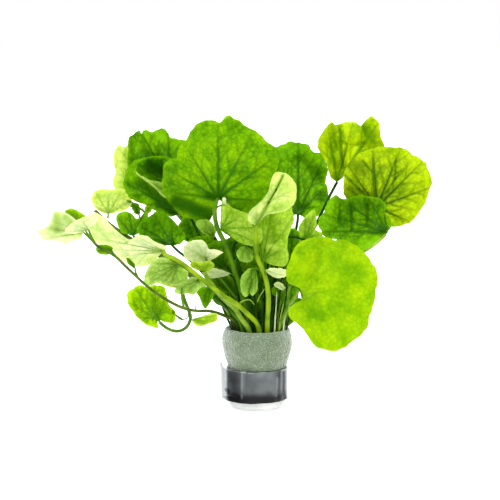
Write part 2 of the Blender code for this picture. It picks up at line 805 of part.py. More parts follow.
def sheet_mesh(name, columns, rows, place):
    """Make a grid and move each vertex to place(q, s), for q and s from 0 to 1."""
    bm = bmesh.new()
    bmesh.ops.create_grid(bm, x_segments=columns, y_segments=rows, size=0.5)
    for vertex in bm.verts:
        vertex.co = place(vertex.co.x + 0.5, vertex.co.y + 0.5) * MM
    bmesh.ops.remove_doubles(bm, verts=bm.verts, dist=WELD_DISTANCE * MM)
    bmesh.ops.recalc_face_normals(bm, faces=bm.faces)
    for face in bm.faces:
        face.smooth = True
    mesh = bpy.data.meshes.new(name)
    bm.to_mesh(mesh)
    bm.free()
    return mesh


def rim_points(joint, rim, lean, turn):
    """Give every rim point its place forward, from the blade's lean and turn and its own extra."""
    across, rise, forward = joint
    points = []
    for point in rim:
        extra = point[2] if len(point) > 2 else 0.0
        depth = forward + lean * (point[1] - rise) + turn * (point[0] - across) + extra
        points.append((point[0], point[1], depth))
    return points


def make_leaf(name, tone, grid, joint, rim, lean=0.0, turn=0.0, dish=0.0, heart=None):
    """Make a blade that spreads from its joint, or from its heart, to its rim, dished between the two."""
    columns, rows = GRIDS[grid]
    path = rim_points(joint, rim, lean, turn)
    if heart:
        path = [joint] + path + [joint]
    outline = smooth_path(path, np.linspace(0.0, 1.0, columns + 1))
    start = np.array(heart or joint)

    def place(q, s):
        point = start + s * (outline[round(q * columns)] - start)
        return spot(point[0], point[1], point[2] + dish * bulge(s))

    blade = add_object(name, sheet_mesh(name, columns, rows, place), TONES[tone])
    solidify(blade, BLADE_THICKNESS)
    return blade


def make_stem(name, radius, slot, route, spacing=STEM_SPACING):
    """Make a round stem through its route, from its cut end in the foam's well if it has a slot there."""
    points = [tuple(spot(*place)) for place in route]
    if slot:
        points = [(*slot, CUT_END_HEIGHT), (*slot, MOUTH_HEIGHT)] + points
    length = sum(math.dist(first, second) for first, second in zip(points, points[1:]))
    count = max(len(route) + 1, round(length / spacing) + 1)
    path = smooth_path(points, np.linspace(0.0, 1.0, count))
    curve = bpy.data.curves.new(name, "CURVE")
    curve.dimensions = "3D"
    curve.bevel_depth = radius * MM
    curve.bevel_resolution = TUBE_RESOLUTION
    curve.use_fill_caps = True
    spline = curve.splines.new("POLY")
    spline.points.add(count - 1)
    for index, point in enumerate(path):
        share = index / (count - 1)
        spline.points[index].co = (point[0] * MM, point[1] * MM, point[2] * MM, 1.0)
        spline.points[index].radius = 1.0 - (1.0 - STEM_TAPER) * share
    return add_object(name, curve, TONES["stem"])


def make_foam():
    """Turn the foam wrap: its flat foot, squeezed waist and bulge, and the well that holds the stems."""
    profile = [(0.0, FOAM_WELL[0][1])] + FOAM_WELL + FOAM_SIDE + [(0.0, 0.0)]
    mesh = bpy.data.meshes.new("foam_wrap")
    edges = [(index, index + 1) for index in range(len(profile) - 1)]
    mesh.from_pydata([(radius * MM, 0.0, height * MM) for radius, height in profile], edges, [])
    foam = add_object("foam_wrap", mesh, material("foam_grey_green", (0.50, 0.56, 0.47), 0.95, 0.0))
    turned = foam.modifiers.new("turned", "SCREW")
    turned.steps = FOAM_STEPS
    turned.render_steps = FOAM_STEPS
    turned.use_merge_vertices = True
    turned.merge_threshold = 0.0001
    return foam


def strip_place(q, s):
    """Return the middle of the strip's wall, q along its winding and s up its height."""
    angle = STRIP_START + q * (STRIP_END - STRIP_START)
    lapped = smooth_step(np.clip((LAP_START - angle) / LAP_TURN, 0.0, 1.0))
    flared = np.clip((FLARE_START - angle) / FLARE_TURN, 0.0, 1.0) ** 2
    curled = np.clip((q - CURL_START) / (1.0 - CURL_START), 0.0, 1.0) ** 2 * s
    radius = STRIP_RADIUS + (STRIP_THICKNESS + LAP_GAP) * lapped + FLARE * flared + CURL_OUT * curled
    height = STRIP_BOTTOM + STRIP_HEIGHT * s + CURL_UP * curled
    return Vector((float(radius) * math.cos(angle), float(radius) * math.sin(angle), float(height)))


def make_strip():
    """Wind the lead strip: a little over one turn, lapped on the front left, its end standing off."""
    mesh = sheet_mesh("lead_band", STRIP_COLUMNS, STRIP_ROWS, strip_place)
    strip = add_object("lead_band", mesh, material("lead_grey", (0.16, 0.17, 0.18), 0.42, 0.9))
    solidify(strip, STRIP_THICKNESS)
    return strip


for old in list(bpy.data.objects):
    bpy.data.objects.remove(old, do_unlink=True)
bpy.context.scene.collection.children.link(bpy.data.collections.new(COLLECTION))

TONES = {
    "deep": material("leaf_deep_green", (0.10, 0.42, 0.02), 0.5, 0.0),
    "fresh": material("leaf_fresh_green", (0.22, 0.60, 0.03), 0.5, 0.0),
    "lime": material("leaf_lime", (0.40, 0.78, 0.05), 0.5, 0.0),
    "pale": material("leaf_pale_underside", (0.38, 0.62, 0.18), 0.6, 0.0),
    "mint": material("leaf_mint_underside", (0.68, 0.88, 0.48), 0.6, 0.0),
    "stem": material("stem_green", (0.24, 0.52, 0.05), 0.45, 0.0),
}

make_foam()
make_strip()
for leaf in LEAVES:
    make_leaf(**leaf)
for stem in STEMS:
    make_stem(**stem)
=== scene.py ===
# %% [markdown]
# A bunch of Japanese cress, as it is sold for an aquarium: a few creeping stems with round, thin leaves,
# their cut ends wrapped in a strip of foam that a wound strip of lead weighs down.
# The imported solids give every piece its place. This script gives each of them its looks, piece by piece:
# leaves with veins and a crinkled blade, smooth juicy stems, soft foam and dull lead.

# %% Load the frame
import math

import bmesh
import bpy
import numpy as np
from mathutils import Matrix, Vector, kdtree, noise
from mathutils.bvhtree import BVHTree


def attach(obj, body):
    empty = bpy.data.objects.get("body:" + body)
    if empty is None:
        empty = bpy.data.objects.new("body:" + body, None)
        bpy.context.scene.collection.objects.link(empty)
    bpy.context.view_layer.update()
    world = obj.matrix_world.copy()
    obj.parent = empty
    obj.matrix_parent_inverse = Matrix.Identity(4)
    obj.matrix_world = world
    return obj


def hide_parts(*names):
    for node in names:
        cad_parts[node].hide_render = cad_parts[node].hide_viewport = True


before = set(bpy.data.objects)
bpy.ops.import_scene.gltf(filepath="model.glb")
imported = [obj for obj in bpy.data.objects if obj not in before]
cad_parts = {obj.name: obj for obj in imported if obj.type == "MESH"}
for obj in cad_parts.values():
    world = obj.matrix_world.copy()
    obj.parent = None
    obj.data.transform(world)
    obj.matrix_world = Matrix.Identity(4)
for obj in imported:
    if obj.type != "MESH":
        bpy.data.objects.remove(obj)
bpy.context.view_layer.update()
MM = 0.001
print("nodes in the frame:", len(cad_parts))

# %% [markdown]
# The camera comes first. The picture was taken from the front, a little from above, with a long lens.
# The bunch is laid out for this eye: a place is told by how far across and how high it appears from here,
# and by how far forward of the foam's axis it really is. That way the layout can be read off a picture,
# and it is still a true place in space.

# %% Camera
EYE_DISTANCE = 700.0
EYE_TILT = math.radians(8.0)
VIEW_CENTER = np.array((-2.9, 0.0, 63.6))
VIEW_ACROSS = -2.9
VIEW_RISE = 62.2
FRAME_WIDTH = 200.0
SENSOR = 36.0
AHEAD = np.array((0.0, math.cos(EYE_TILT), -math.sin(EYE_TILT)))
ABOVE = np.array((0.0, math.sin(EYE_TILT), math.cos(EYE_TILT)))
EYE = VIEW_CENTER - EYE_DISTANCE * AHEAD

camera_data = bpy.data.cameras.new("camera")
camera_data.sensor_width = SENSOR
camera_data.lens = SENSOR * EYE_DISTANCE / FRAME_WIDTH
camera = bpy.data.objects.new("camera", camera_data)
bpy.context.scene.collection.objects.link(camera)
camera.location = Vector(EYE) * MM
camera.rotation_euler = Vector(AHEAD).to_track_quat("-Z", "Y").to_euler()
bpy.context.scene.camera = camera
print("lens", round(camera_data.lens, 1), "mm")

# %% [markdown]
# Two helpers turn a list of places into a shape. `spots` finds the points in space that appear at
# the given places, and `smooth_path` runs a smooth curve through a few points, so that an outline needs only
# the points that give it its shape.

# %% Places and smooth curves


def spots(places):
    """Return the points that appear at rows of (across, rise, forward)."""
    across, rise, forward = np.asarray(places, dtype=float).T
    seen = VIEW_CENTER + np.outer(across - VIEW_ACROSS, (1.0, 0.0, 0.0)) + np.outer(rise - VIEW_RISE, ABOVE)
    ray = seen - EYE
    reach = (-forward - EYE[1]) / ray[:, 1]
    return EYE + reach[:, None] * ray


def smooth_path(points, samples):
    """Return points at the shares `samples` of the way along a smooth curve through `points`."""
    points = np.array(points, dtype=float)
    steps = np.linalg.norm(np.diff(points, axis=0), axis=1)
    along = np.concatenate(([0.0], np.cumsum(steps))) / steps.sum()
    slopes = np.gradient(points, along, axis=0)
    samples = np.asarray(samples, dtype=float)
    piece = np.clip(np.searchsorted(along, samples, side="right") - 1, 0, len(along) - 2)
    span = (along[piece + 1] - along[piece])[:, None]
    share = (samples - along[piece])[:, None] / span
    return (
        (2 * share**3 - 3 * share**2 + 1) * points[piece]
        + (share**3 - 2 * share**2 + share) * span * slopes[piece]
        + (3 * share**2 - 2 * share**3) * points[piece + 1]
        + (share**3 - share**2) * span * slopes[piece + 1]
    )


def ease(low, high, value):
    """Rise smoothly from 0 at low to 1 at high."""
    share = np.clip((value - low) / (high - low), 0.0, 1.0)
    return share * share * (3.0 - 2.0 * share)


def bulge(share):
    """Return 0 at both ends of a span and 1 at its middle."""
    return 4.0 * share * (1.0 - share)


print("the front lip of the foam appears at", spots([(0.0, 28.0, 13.0)]).round(1))

# %% [markdown]
# Every leaf of the bunch was read off the picture: the joint where its stalk meets it, and its rim,
# from one side of the notch at the joint round to the other. A heart is a second middle for a blade that
# can't be seen whole from its joint. Lean, turn and dish tell how the blade stands in depth. The look names
# the leaf's colours, and the face tells which side of it is seen: many are seen from below.

# %% Leaf layout
# Painted light: each leaf's shade lines (across, rise, across, rise, width, amount) paint shade onto its blade where
# the amount is above zero, light where it is below zero, and near-black shadow above one. A few of them trace real
# veins.
LEAVES = {
    "leaf_crown": {
        "grid": "large", "slot": "leaf_deep", "joint": (-15.7, 83, 4), "look": "crown", "face": "under",
        "veins": (90, 173, 150, 122, 62, 36, -3), "quilt": 0.42, "ruffle": 1.6, "vein_mark": 0.8, "lean": 0.4,
        "dish": 1.5,
        "rim": [
            (-17.1, 76.6), (-19.3, 73.6), (-25.3, 74.2), (-29.6, 75.4), (-33.9, 79.8), (-37.6, 85), (-38, 91),
            (-37.8, 94.8), (-35.4, 97.9), (-32.3, 98.7), (-32.2, 101.4), (-28.3, 106.2), (-25.3, 111.8),
            (-20.9, 113.7), (-14.9, 113.6), (-11.5, 116), (-8.5, 114.1), (-3.9, 111.8), (0.7, 108.8),
            (3, 105.8), (6.8, 103.6), (8.2, 100.6), (7.3, 91.8), (5.1, 85), (0.3, 80.6), (-4.5, 76.7),
            (-9.3, 77.4), (-12.5, 79.8),
        ],
        "painted_light_and_vein_lines": (
            (-32.5, 81.4, -19.7, 76.6, 3.2, 1.1), (-19.7, 83.8, -13.3, 82.6, 2, 0.7),
            (-15.3, 105.8, -15.3, 84.2, 1.2, 0.4), (-15.7, 83.4, -33.7, 88.6, 1, 0.35),
            (-15.7, 83.4, 1.9, 95, 1, 0.3), (-37.3, 95, -35.7, 87.8, 2, 0.35),
            (-8.5, 79.8, -0.5, 82.2, 2.4, 0.4), (-25.3, 97.8, -19.3, 95.8, 2.4, -0.6),
            (-29.7, 91.4, -26.9, 90.2, 2, -0.5), (-10.1, 99.8, -6.9, 97.4, 2.4, -0.6),
            (-6.1, 91, -2.9, 89.4, 2.4, -0.45), (-20.9, 105, -18.5, 106.2, 2.4, -0.45),
            (-12.9, 113.4, -10.1, 111, 2, 0.35), (0.3, 102.2, 3.5, 98.2, 2.4, -0.3),
            (-21.3, 91.8, -18.9, 88.6, 1.6, -0.4), (-2.1, 107, 0.3, 103.8, 2.4, 0.25),
            (-11.7, 91, -10.1, 88.6, 1.6, -0.35),
        ),
        "folds": (
            (-31.7, 80.6, -20.5, 75.8, 4.8, -3.0), (5.1, 102.2, 5.1, 88.2, 3.6, -1.8),
            (-36.9, 95, -36.5, 86.2, 3.2, -1.5), (-20.9, 112.6, -2.9, 112.6, 3.2, -1.2),
            (-24.5, 98.2, -22.9, 94.2, 3.6, 0.8), (-6.9, 98.2, -5.3, 93.4, 3.6, 0.8),
        ),
    },
    "leaf_left_back": {
        "grid": "large", "slot": "leaf_deep", "joint": (-34.1, 89, -22), "look": "deep", "face": "under",
        "veins": (150, 122, 95, 60), "quilt": 0.4, "lean": -0.4, "turn": 0.1, "dish": -1.0,
        "rim": [
            (-43.7, 87.8), (-49.3, 90.2), (-51.7, 95), (-51.6, 101.4), (-50.9, 107.2), (-47.9, 109.8),
            (-46.5, 108.4, 1), (-45.5, 110.4, -2), (-42.1, 109.6), (-38.9, 110.8), (-35.9, 109.4),
            (-34.7, 107.3), (-31.7, 106.5), (-28.1, 106.2), (-22.9, 102.2), (-21.7, 96.2), (-24.5, 91),
        ],
        "painted_light_and_vein_lines": (
            (-44.5, 109, -41.7, 101.8, 1, -0.95), (-38.9, 107.8, -34.1, 105.4, 2.8, -0.8),
            (-31.7, 104.6, -26.9, 103, 2.4, -0.5), (-50.1, 105.4, -49.3, 91, 1.6, 0.45),
            (-46.1, 105.4, -43.7, 98.2, 1.2, 0.5), (-40.5, 102.2, -34.1, 99.8, 2, 0.3),
        ),
        "folds": (
            (-44.1, 109, -41.3, 100.2, 1.2, 1.6), (-48.9, 106.2, -49.3, 92.2, 2, -1.5),
        ),
    },
    "leaf_left_rolled": {
        "grid": "middle", "slot": "leaf_deep", "joint": (-34.1, 88.6, -6), "look": "deep", "face": "upper",
        "veins": (150, 178, 118, 205), "quilt": 0.3, "turn": -0.4, "dish": -4.0,
        "rim": [
            (-32.5, 98.2), (-37.7, 99.6), (-42.1, 99.7), (-46.3, 98.6), (-48.3, 96.2), (-48.8, 93.4),
            (-45.3, 90.9), (-41.3, 87.6), (-37.3, 83.4), (-34.1, 82.6),
        ],
        "painted_light_and_vein_lines": (
            (-42.9, 96.6, -36.5, 92.6, 2.8, 0.9), (-39.7, 99, -34.9, 97.4, 1.6, -0.1),
        ),
    },
    "leaf_left_lower": {
        "grid": "large", "slot": "leaf_deep", "joint": (-30.9, 76.6, -14.5), "look": "deep", "face": "under",
        "veins": (175, 150, 120, 95), "quilt": 0.35, "lean": -0.3, "turn": -0.2, "dish": -0.6,
        "rim": [
            (-34.5, 75.6), (-39.5, 77.9), (-42.9, 79.2), (-45.7, 80.8), (-48.1, 81.7), (-50.5, 82.7),
            (-52.1, 84.6), (-53.3, 91), (-51.3, 95.8), (-46.1, 99), (-39.7, 98.2), (-34.1, 94.2),
            (-29.3, 87.8), (-27.7, 81.4),
        ],
        "painted_light_and_vein_lines": (
            (-46.9, 88.6, -32.5, 77.4, 2.4, 0.8), (-50.5, 88.6, -48.5, 83, 2, -0.15),
            (-38.9, 80.6, -34.1, 77.4, 1.6, 0.5),
        ),
        "folds": (
            (-46.9, 89.4, -32.5, 77.4, 2.4, -1.6),
        ),
    },
    "leaf_far_left": {
        "grid": "middle", "slot": "leaf_lime", "joint": (-42.9, 87.8, -36), "look": "lime", "face": "under",
        "veins": (190, 160, 130, 100), "quilt": 0.4, "lean": -0.2, "turn": 0.35, "dish": 1.0,
        "rim": [
            (-46.9, 84.2), (-50.5, 83.8), (-54.9, 85), (-57.9, 88.6), (-56.7, 93.8), (-57.5, 99), (-55.4, 104),
            (-53.3, 103.4), (-50.9, 105.8), (-46.1, 103.8), (-42.1, 98.2), (-40.5, 92.6),
        ],
        "painted_light_and_vein_lines": (
            (-54.5, 102.2, -55.7, 91.8, 1.2, -0.8), (-52.5, 98.2, -53.3, 90.2, 1, 0.4),
            (-55.7, 87.8, -50.9, 86.2, 1.6, -0.5),
        ),
    },
    "leaf_pale_round": {
        "grid": "middle", "slot": "leaf_lime", "joint": (-59.6, 76.7, -13.4), "heart": (-58.9, 79.4, -14),
        "look": "mint", "face": "upper", "veins": (150, 120, 90, 60, 30), "vein_size": 0.6, "quilt": 0.2,
        "lean": -0.4, "dish": 0.3,
        "rim": [
            (-60.7, 76.9), (-61.9, 77.2), (-64.5, 78.8), (-66.3, 82.2), (-65, 85.6), (-61.7, 86.6),
            (-57.7, 86.3), (-53.7, 86.6), (-50.9, 84.6), (-50.3, 80.4), (-52.5, 78.4), (-55.9, 77.3),
            (-58.3, 76.8),
        ],
        "painted_light_and_vein_lines": (
            (-64.5, 83.8, -53.3, 84.6, 2.4, 0.25), (-62.9, 79.8, -55.7, 79, 1.6, -0.3),
        ),
    },
    "leaf_tip_fold": {
        "grid": "middle", "slot": "leaf_mint", "joint": (-69.5, 69.3, 34.6), "look": "mint", "face": "under",
        "veins": (175, 190, 160), "quilt": 0.35, "lean": 0.4, "turn": -0.02, "dish": 0.6,
        "rim": [
            (-70.9, 66.4), (-76.5, 64.8), (-80.9, 66), (-85.3, 66.3), (-87.5, 68.4), (-87.6, 69.9),
            (-84.7, 71.2, -1), (-82.8, 73.3, -3), (-80.9, 77.7, -6), (-78.3, 77.6, -6), (-72.6, 74.5, -4),
            (-70.1, 71.8, -2),
        ],
        "painted_light_and_vein_lines": (
            (-81.3, 76.6, -79.7, 71, 2.4, 1.0), (-76.5, 75.8, -73.3, 71.8, 1.6, 0.9),
            (-85.3, 67.8, -74.9, 66.6, 1.6, -0.6), (-71.7, 71, -78.9, 69.8, 0.8, 0.5),
            (-84.5, 71.8, -80.5, 70.2, 1.2, 0.6),
        ),
    },
    "leaf_tip_back": {
        "grid": "small", "slot": "leaf_fresh", "joint": (-68.5, 69.6, 31.8), "look": "fresh", "face": "upper",
        "veins": (150, 130), "quilt": 0.3, "lean": -0.5,
        "rim": [
            (-70.9, 71), (-74.9, 73.8), (-77.2, 76.2), (-76.7, 78), (-74.5, 78.8), (-71.3, 77.6),
            (-68.7, 75.8), (-67.7, 72.6),
        ],
        "painted_light_and_vein_lines": (
            (-75.7, 77, -70.9, 75, 2.4, 0.6),
        ),
    },
    "leaf_tip_mint": {
        "grid": "small", "slot": "leaf_mint", "joint": (-67.5, 70.2, 37.6), "look": "mint", "face": "under",
        "veins": (185, 160, 120), "quilt": 0.3, "lean": 0.6, "dish": 0.6,
        "rim": [
            (-70.9, 69.2), (-73.9, 68.8), (-76.8, 69.5), (-73.9, 73.1), (-69.3, 75.3), (-64.3, 76.7),
            (-63.5, 75), (-65.3, 72.2),
        ],
        "painted_light_and_vein_lines": (
            (-69.3, 74.6, -66.1, 75.4, 1.2, 0.3), (-74.1, 71, -70.9, 71.8, 1.2, -0.4),
        ),
    },
    "leaf_pale_long": {
        "grid": "large", "slot": "leaf_mint", "joint": (-37.5, 61.8, 16), "heart": (-54.9, 63.4, 19.8),
        "look": "mint", "face": "under", "veins": (150, 160, 169, 178, 187), "quilt": 0.4, "vein_size": 0.8,
        "lean": 0.8, "turn": -0.1, "dish": 0.4,
        "rim": [
            (-40.5, 58.6), (-43.7, 56), (-50.1, 55.8), (-54.5, 58.4), (-59.3, 62.7), (-64.1, 64.6),
            (-66.5, 66.8), (-67.6, 71), (-66.5, 74.2), (-64.3, 76.6), (-61.7, 75.4), (-59.3, 73),
            (-55.3, 69.2), (-50.5, 66.4), (-47.7, 68), (-44.9, 67.9), (-40.7, 65.4), (-36.5, 62.7),
        ],
        "painted_light_and_vein_lines": (
            (-64.5, 72.6, -59.7, 67.8, 2.4, 0.45), (-61.3, 64.6, -54.9, 60.6, 2, 0.25),
            (-51.7, 63.8, -39.7, 61.4, 3.2, -1.0), (-58.1, 69.4, -53.3, 66.2, 1.2, 0.3),
            (-46.9, 57.4, -42.9, 58.2, 1.2, 0.3),
        ),
        "folds": (
            (-62.9, 71.8, -42.9, 61.4, 1.2, 0.8), (-61.3, 66.2, -46.9, 58.2, 1.6, -0.8),
        ),
    },
    "leaf_green_mid": {
        "grid": "middle", "slot": "leaf_deep", "joint": (-34.1, 64.2, 0), "look": "deep", "face": "upper",
        "veins": (150, 120, 90, 175), "quilt": 0.4, "lean": -0.4, "dish": -1.5,
        "rim": [
            (-38.9, 63.8), (-42.9, 66), (-46.9, 68.2), (-48.3, 70.8), (-44.5, 74.4), (-40.1, 77.6),
            (-37.3, 77.4), (-34.7, 75.1), (-31.1, 71.2), (-28.5, 66.7), (-30.7, 64.2),
        ],
        "painted_light_and_vein_lines": (
            (-46.1, 73.4, -44.5, 69.4, 2, 0.5), (-38.9, 75, -34.9, 71.8, 2.4, -0.5),
            (-42.9, 66.2, -34.1, 65, 1.2, 0.6), (-39.7, 71, -36.5, 68.6, 1.6, -0.2),
        ),
    },
    "leaf_green_small": {
        "grid": "small", "slot": "leaf_deep", "joint": (-49.7, 67.8, -8), "look": "deep", "face": "under",
        "veins": (130, 100, 65), "quilt": 0.35, "lean": -0.5,
        "rim": [
            (-54.1, 69), (-55.7, 71.8), (-56.1, 76.2), (-53.9, 77.6), (-50.5, 77), (-48.1, 74.6), (-44.3, 78),
            (-43.7, 73.4), (-46.9, 69),
        ],
        "painted_light_and_vein_lines": (
            (-54.5, 75.4, -51.7, 72.6, 1.6, -0.3), (-47.7, 73.4, -45.3, 76.6, 1.2, 0.4),
        ),
    },
    "leaf_lower_left": {
        "grid": "large", "slot": "leaf_fresh", "joint": (-40.1, 34.6, 14), "look": "fresh", "face": "upper",
        "veins": (125, 95, 150, 65, 175), "quilt": 0.4, "lean": -0.5, "turn": 0.3, "dish": -1.0,
        "rim": [
            (-39.4, 30.7), (-42.2, 31.4), (-46.2, 33.5), (-49.6, 37.5), (-51.7, 41.2), (-51.7, 44.6),
            (-49.9, 46.6), (-47.4, 48), (-43.7, 47.6), (-39.8, 48.2), (-37, 47.3), (-36.1, 43.6),
            (-35.1, 40.2), (-32.4, 36.9), (-33.6, 33), (-36.5, 33.2),
        ],
        "painted_light_and_vein_lines": (
            (-50.9, 45.4, -50.9, 40.6, 1, -0.8), (-40.1, 35, -42.1, 43.8, 1, 0.45),
            (-46.9, 46.2, -38.9, 47, 1.2, 0.3), (-35.7, 39, -34.1, 35, 1.2, 0.3),
            (-46.9, 40.2, -44.5, 37.4, 2, -0.3),
        ),
        "folds": (
            (-40.1, 35, -42.9, 45.4, 1.6, -0.8), (-50.9, 45.4, -50.1, 38.2, 1.2, 1.0),
        ),
    },
    "leaf_young": {
        "grid": "small", "slot": "leaf_lime", "joint": (-26.3, 34.4, 17.4), "heart": (-21.7, 34, 17.7),
        "look": "lime", "face": "upper", "veins": (-5, 10), "quilt": 0.3, "lean": 0.3, "dish": 0.2,
        "rim": [
            (-25.5, 33.2), (-23.3, 31.8), (-19.6, 32.8), (-16.1, 34.1), (-16.1, 36.6), (-20.2, 36.4),
            (-23.2, 35.4), (-24.9, 35),
        ],
        "painted_light_and_vein_lines": (
            (-21.7, 35.4, -18.1, 35.8, 0.8, -0.5), (-24.5, 33.8, -20.5, 32.6, 0.8, 0.7),
        ),
    },
    "leaf_veined_left": {
        "grid": "middle", "slot": "leaf_pale", "joint": (-31.7, 56.4, 15.5), "look": "pale", "face": "under",
        "veins": (176, 200, 214, 232, 250), "quilt": 0.35, "vein_size": 0.9, "lean": 0.3, "turn": -0.15,
        "dish": -0.8,
        "rim": [
            (-35.7, 58.5), (-38.9, 59.1), (-41.7, 57.7), (-43.5, 55.2), (-45.2, 51), (-44.9, 48.5),
            (-42.7, 47.8), (-40.7, 48.8), (-35.5, 47.5), (-31.7, 47.2), (-28.5, 49), (-27.7, 53.4),
        ],
        "painted_light_and_vein_lines": (
            (-42.9, 55.8, -40.5, 56.6, 1.6, -0.3), (-38.9, 49.4, -32.5, 48.6, 1.6, -0.3),
            (-42.9, 51, -40.5, 49.4, 1.6, 0.2),
        ),
    },
    "leaf_veined_low": {
        "grid": "middle", "slot": "leaf_pale", "joint": (-22.9, 50.6, 16), "look": "pale", "face": "under",
        "veins": (205, 225, 190), "quilt": 0.3, "vein_size": 0.9, "lean": -0.1, "dish": 0.5,
        "rim": [
            (-26.1, 51.6), (-29.3, 49.6), (-32.3, 47.5), (-33, 45.2), (-30.9, 44.4), (-27.8, 44.8),
            (-25.9, 44.2), (-22.6, 46.9), (-20.5, 47.8),
        ],
        "painted_light_and_vein_lines": (
            (-34.1, 46.6, -31.7, 46.2, 0.8, -0.6), (-29.3, 46.2, -24.5, 47, 1.2, -0.2),
        ),
    },
    "leaf_pale_mid": {
        "grid": "middle", "slot": "leaf_mint", "joint": (-20.5, 58.8, 7), "look": "mint", "face": "under",
        "veins": (150, 120, 90, 55), "quilt": 0.35, "vein_size": 0.6, "lean": 0.5, "turn": 0.2, "dish": 1.0,
        "rim": [
            (-21.5, 56.8), (-24.8, 56.7), (-26.9, 57.7), (-29.3, 59.4), (-29.7, 61.4), (-29.3, 64.2),
            (-26.9, 65.7), (-24.5, 66.2), (-22, 66.1), (-20.3, 64.6), (-19.3, 62.5), (-17.3, 62.5),
            (-13.6, 61.2), (-16.5, 59.2), (-18.9, 57.6),
        ],
        "painted_light_and_vein_lines": (
            (-28.5, 64.6, -26.9, 59.8, 2, -0.6), (-24.5, 65, -22.9, 60.6, 1.2, 0.25),
            (-18.9, 61.4, -14.9, 61, 1.6, -0.6),
        ),
    },
    "leaf_yellow_small": {
        "grid": "small", "slot": "leaf_lime", "joint": (-21.3, 53.6, 9.5), "look": "lime", "face": "upper",
        "veins": (140, 100, 60), "quilt": 0.3, "lean": 0.5,
        "rim": [
            (-24.1, 54.2), (-26.9, 56), (-26.1, 57.6), (-22.5, 57.2), (-18.9, 57.8), (-17.1, 56), (-19.1, 54),
        ],
    },
    "leaf_pale_small": {
        "grid": "small", "slot": "leaf_mint", "joint": (-10.7, 52.8, 4.6), "look": "mint", "face": "under",
        "veins": (175, 190, 160), "quilt": 0.3, "vein_size": 0.6, "lean": 0.6, "turn": 0.02,
        "rim": [
            (-11.9, 52.1), (-13.1, 51.8), (-15.9, 51.2), (-19.3, 51.2), (-20.6, 53.2), (-19.1, 54.6),
            (-16.5, 54.7), (-14.1, 54), (-12.1, 53.4),
        ],
    },
    "leaf_grey_small": {
        "grid": "small", "slot": "leaf_pale", "joint": (-17.1, 67.4, -4), "look": "muted", "face": "under",
        "veins": (120, 100, 150), "quilt": 0.3, "lean": 0.5, "dish": 0.5,
        "rim": [
            (-19.7, 67.6), (-22.8, 70), (-24.5, 73.4), (-22.5, 74.4), (-19.3, 74), (-17.2, 71.8),
            (-16.5, 69.4),
        ],
    },
    "leaf_triangle": {
        "grid": "small", "slot": "leaf_fresh", "joint": (-18.7, 47.2, 10.5), "look": "deep", "face": "under",
        "veins": (-100, -125, -75), "quilt": 0.3, "lean": -0.3,
        "rim": [
            (-21.7, 47.6), (-24.7, 46.8), (-23.1, 43.2), (-20.8, 38.8), (-18.5, 41.8), (-17.1, 45),
        ],
        "painted_light_and_vein_lines": (
            (-23.3, 46.2, -21.7, 43, 1, -0.4), (-20.5, 46.2, -20.5, 42.2, 0.8, 0.4),
        ),
    },
    "leaf_fold_center": {
        "grid": "middle", "slot": "leaf_pale", "joint": (-14.3, 71, 8.4), "look": "fresh", "face": "under",
        "veins": (0, -22, -40, 32, 62), "quilt": 0.35, "turn": 0.12, "dish": 1.0,
        "rim": [
            (-14.7, 74.2, 1), (-13.5, 82.2, -2), (-10.5, 79.6, -2), (-6.9, 77.8, -2), (-3.9, 76.6, -1),
            (-2.9, 73.4, 0.5), (-1.1, 71.2, 1), (1.7, 70.2, 1), (1.4, 65.2, -1), (-2.5, 63.8, -2),
            (-7.5, 65.4, -2), (-11.3, 68.3, -1),
        ],
        "painted_light_and_vein_lines": (
            (-13.3, 81, -13.7, 71.8, 0.8, -0.9), (-11.7, 76.6, -6.9, 73.4, 2, 0.15),
            (-10.9, 70.6, -0.5, 67.8, 1.6, -0.5), (-8.5, 66.2, -2.9, 65, 1, 0.3),
        ),
    },
    "leaf_white_right": {
        "grid": "middle", "slot": "leaf_mint", "joint": (-0.3, 71.8, 14.8), "heart": (3.5, 79.4, 15.6),
        "look": "mint", "face": "upper", "veins": (63, 90, 40, 20), "quilt": 0.35, "lean": -0.05, "turn": 0.15,
        "dish": 0.6,
        "rim": [
            (-3.1, 73.6, -1), (-3.5, 76.4, -2), (0.7, 80.4, -3), (5.1, 85.8, -3), (7.1, 92.5, -3),
            (10.4, 93.2, 1), (13.9, 90.8, -1), (15.6, 86.2, -3), (14.7, 81.4, -4), (11.9, 78.4, -4),
            (8.3, 77.4, -3), (3.7, 76.4, -1.5),
        ],
        "painted_light_and_vein_lines": (
            (10.5, 92.2, 7.5, 86.2, 0.4, 1.9), (7.5, 86.2, 4.7, 81.4, 0.4, 1.9),
            (4.7, 81.4, -0.5, 71.8, 0.5, 1.8), (12.3, 88.6, 10.7, 80.6, 1.6, -0.2),
            (-2.1, 76.6, 1.9, 79.8, 1.6, -0.9), (5.9, 89.4, 8.3, 91.8, 1.2, -0.9),
            (11.5, 79.8, 7.5, 78.2, 1.2, 0.4),
        ),
        "folds": (
            (10.3, 91.8, 4.7, 81.4, 1, -1.0), (4.7, 81.4, -0.8, 71.6, 1, -1.0),
        ),
    },
    "leaf_lime_center": {
        "grid": "middle", "slot": "leaf_lime", "joint": (2.3, 58.2, 8.2), "look": "fresh", "face": "under",
        "vein_mark": 0.7, "veins": (80, 100, 55, 30), "quilt": 0.5, "ruffle": 1.6, "lean": -0.12, "turn": 0.3,
        "dish": -1.0,
        "rim": [
            (-0.5, 63.8, -1.5), (-1.1, 69.4, -2.5), (1.9, 76.6, -1.5), (5.1, 80.2), (9.5, 79.8), (13.3, 79.2),
            (14.6, 75), (13.1, 69.8), (11.8, 65), (12.3, 60.6), (10.8, 56), (7.8, 56.2), (4.5, 57.2),
        ],
        "painted_light_and_vein_lines": (
            (2.7, 69.4, 6.7, 61.4, 2, -0.4), (1.9, 63.8, 10.7, 62.2, 1, -0.7), (7.5, 76.6, 12.3, 75, 2, -0.2),
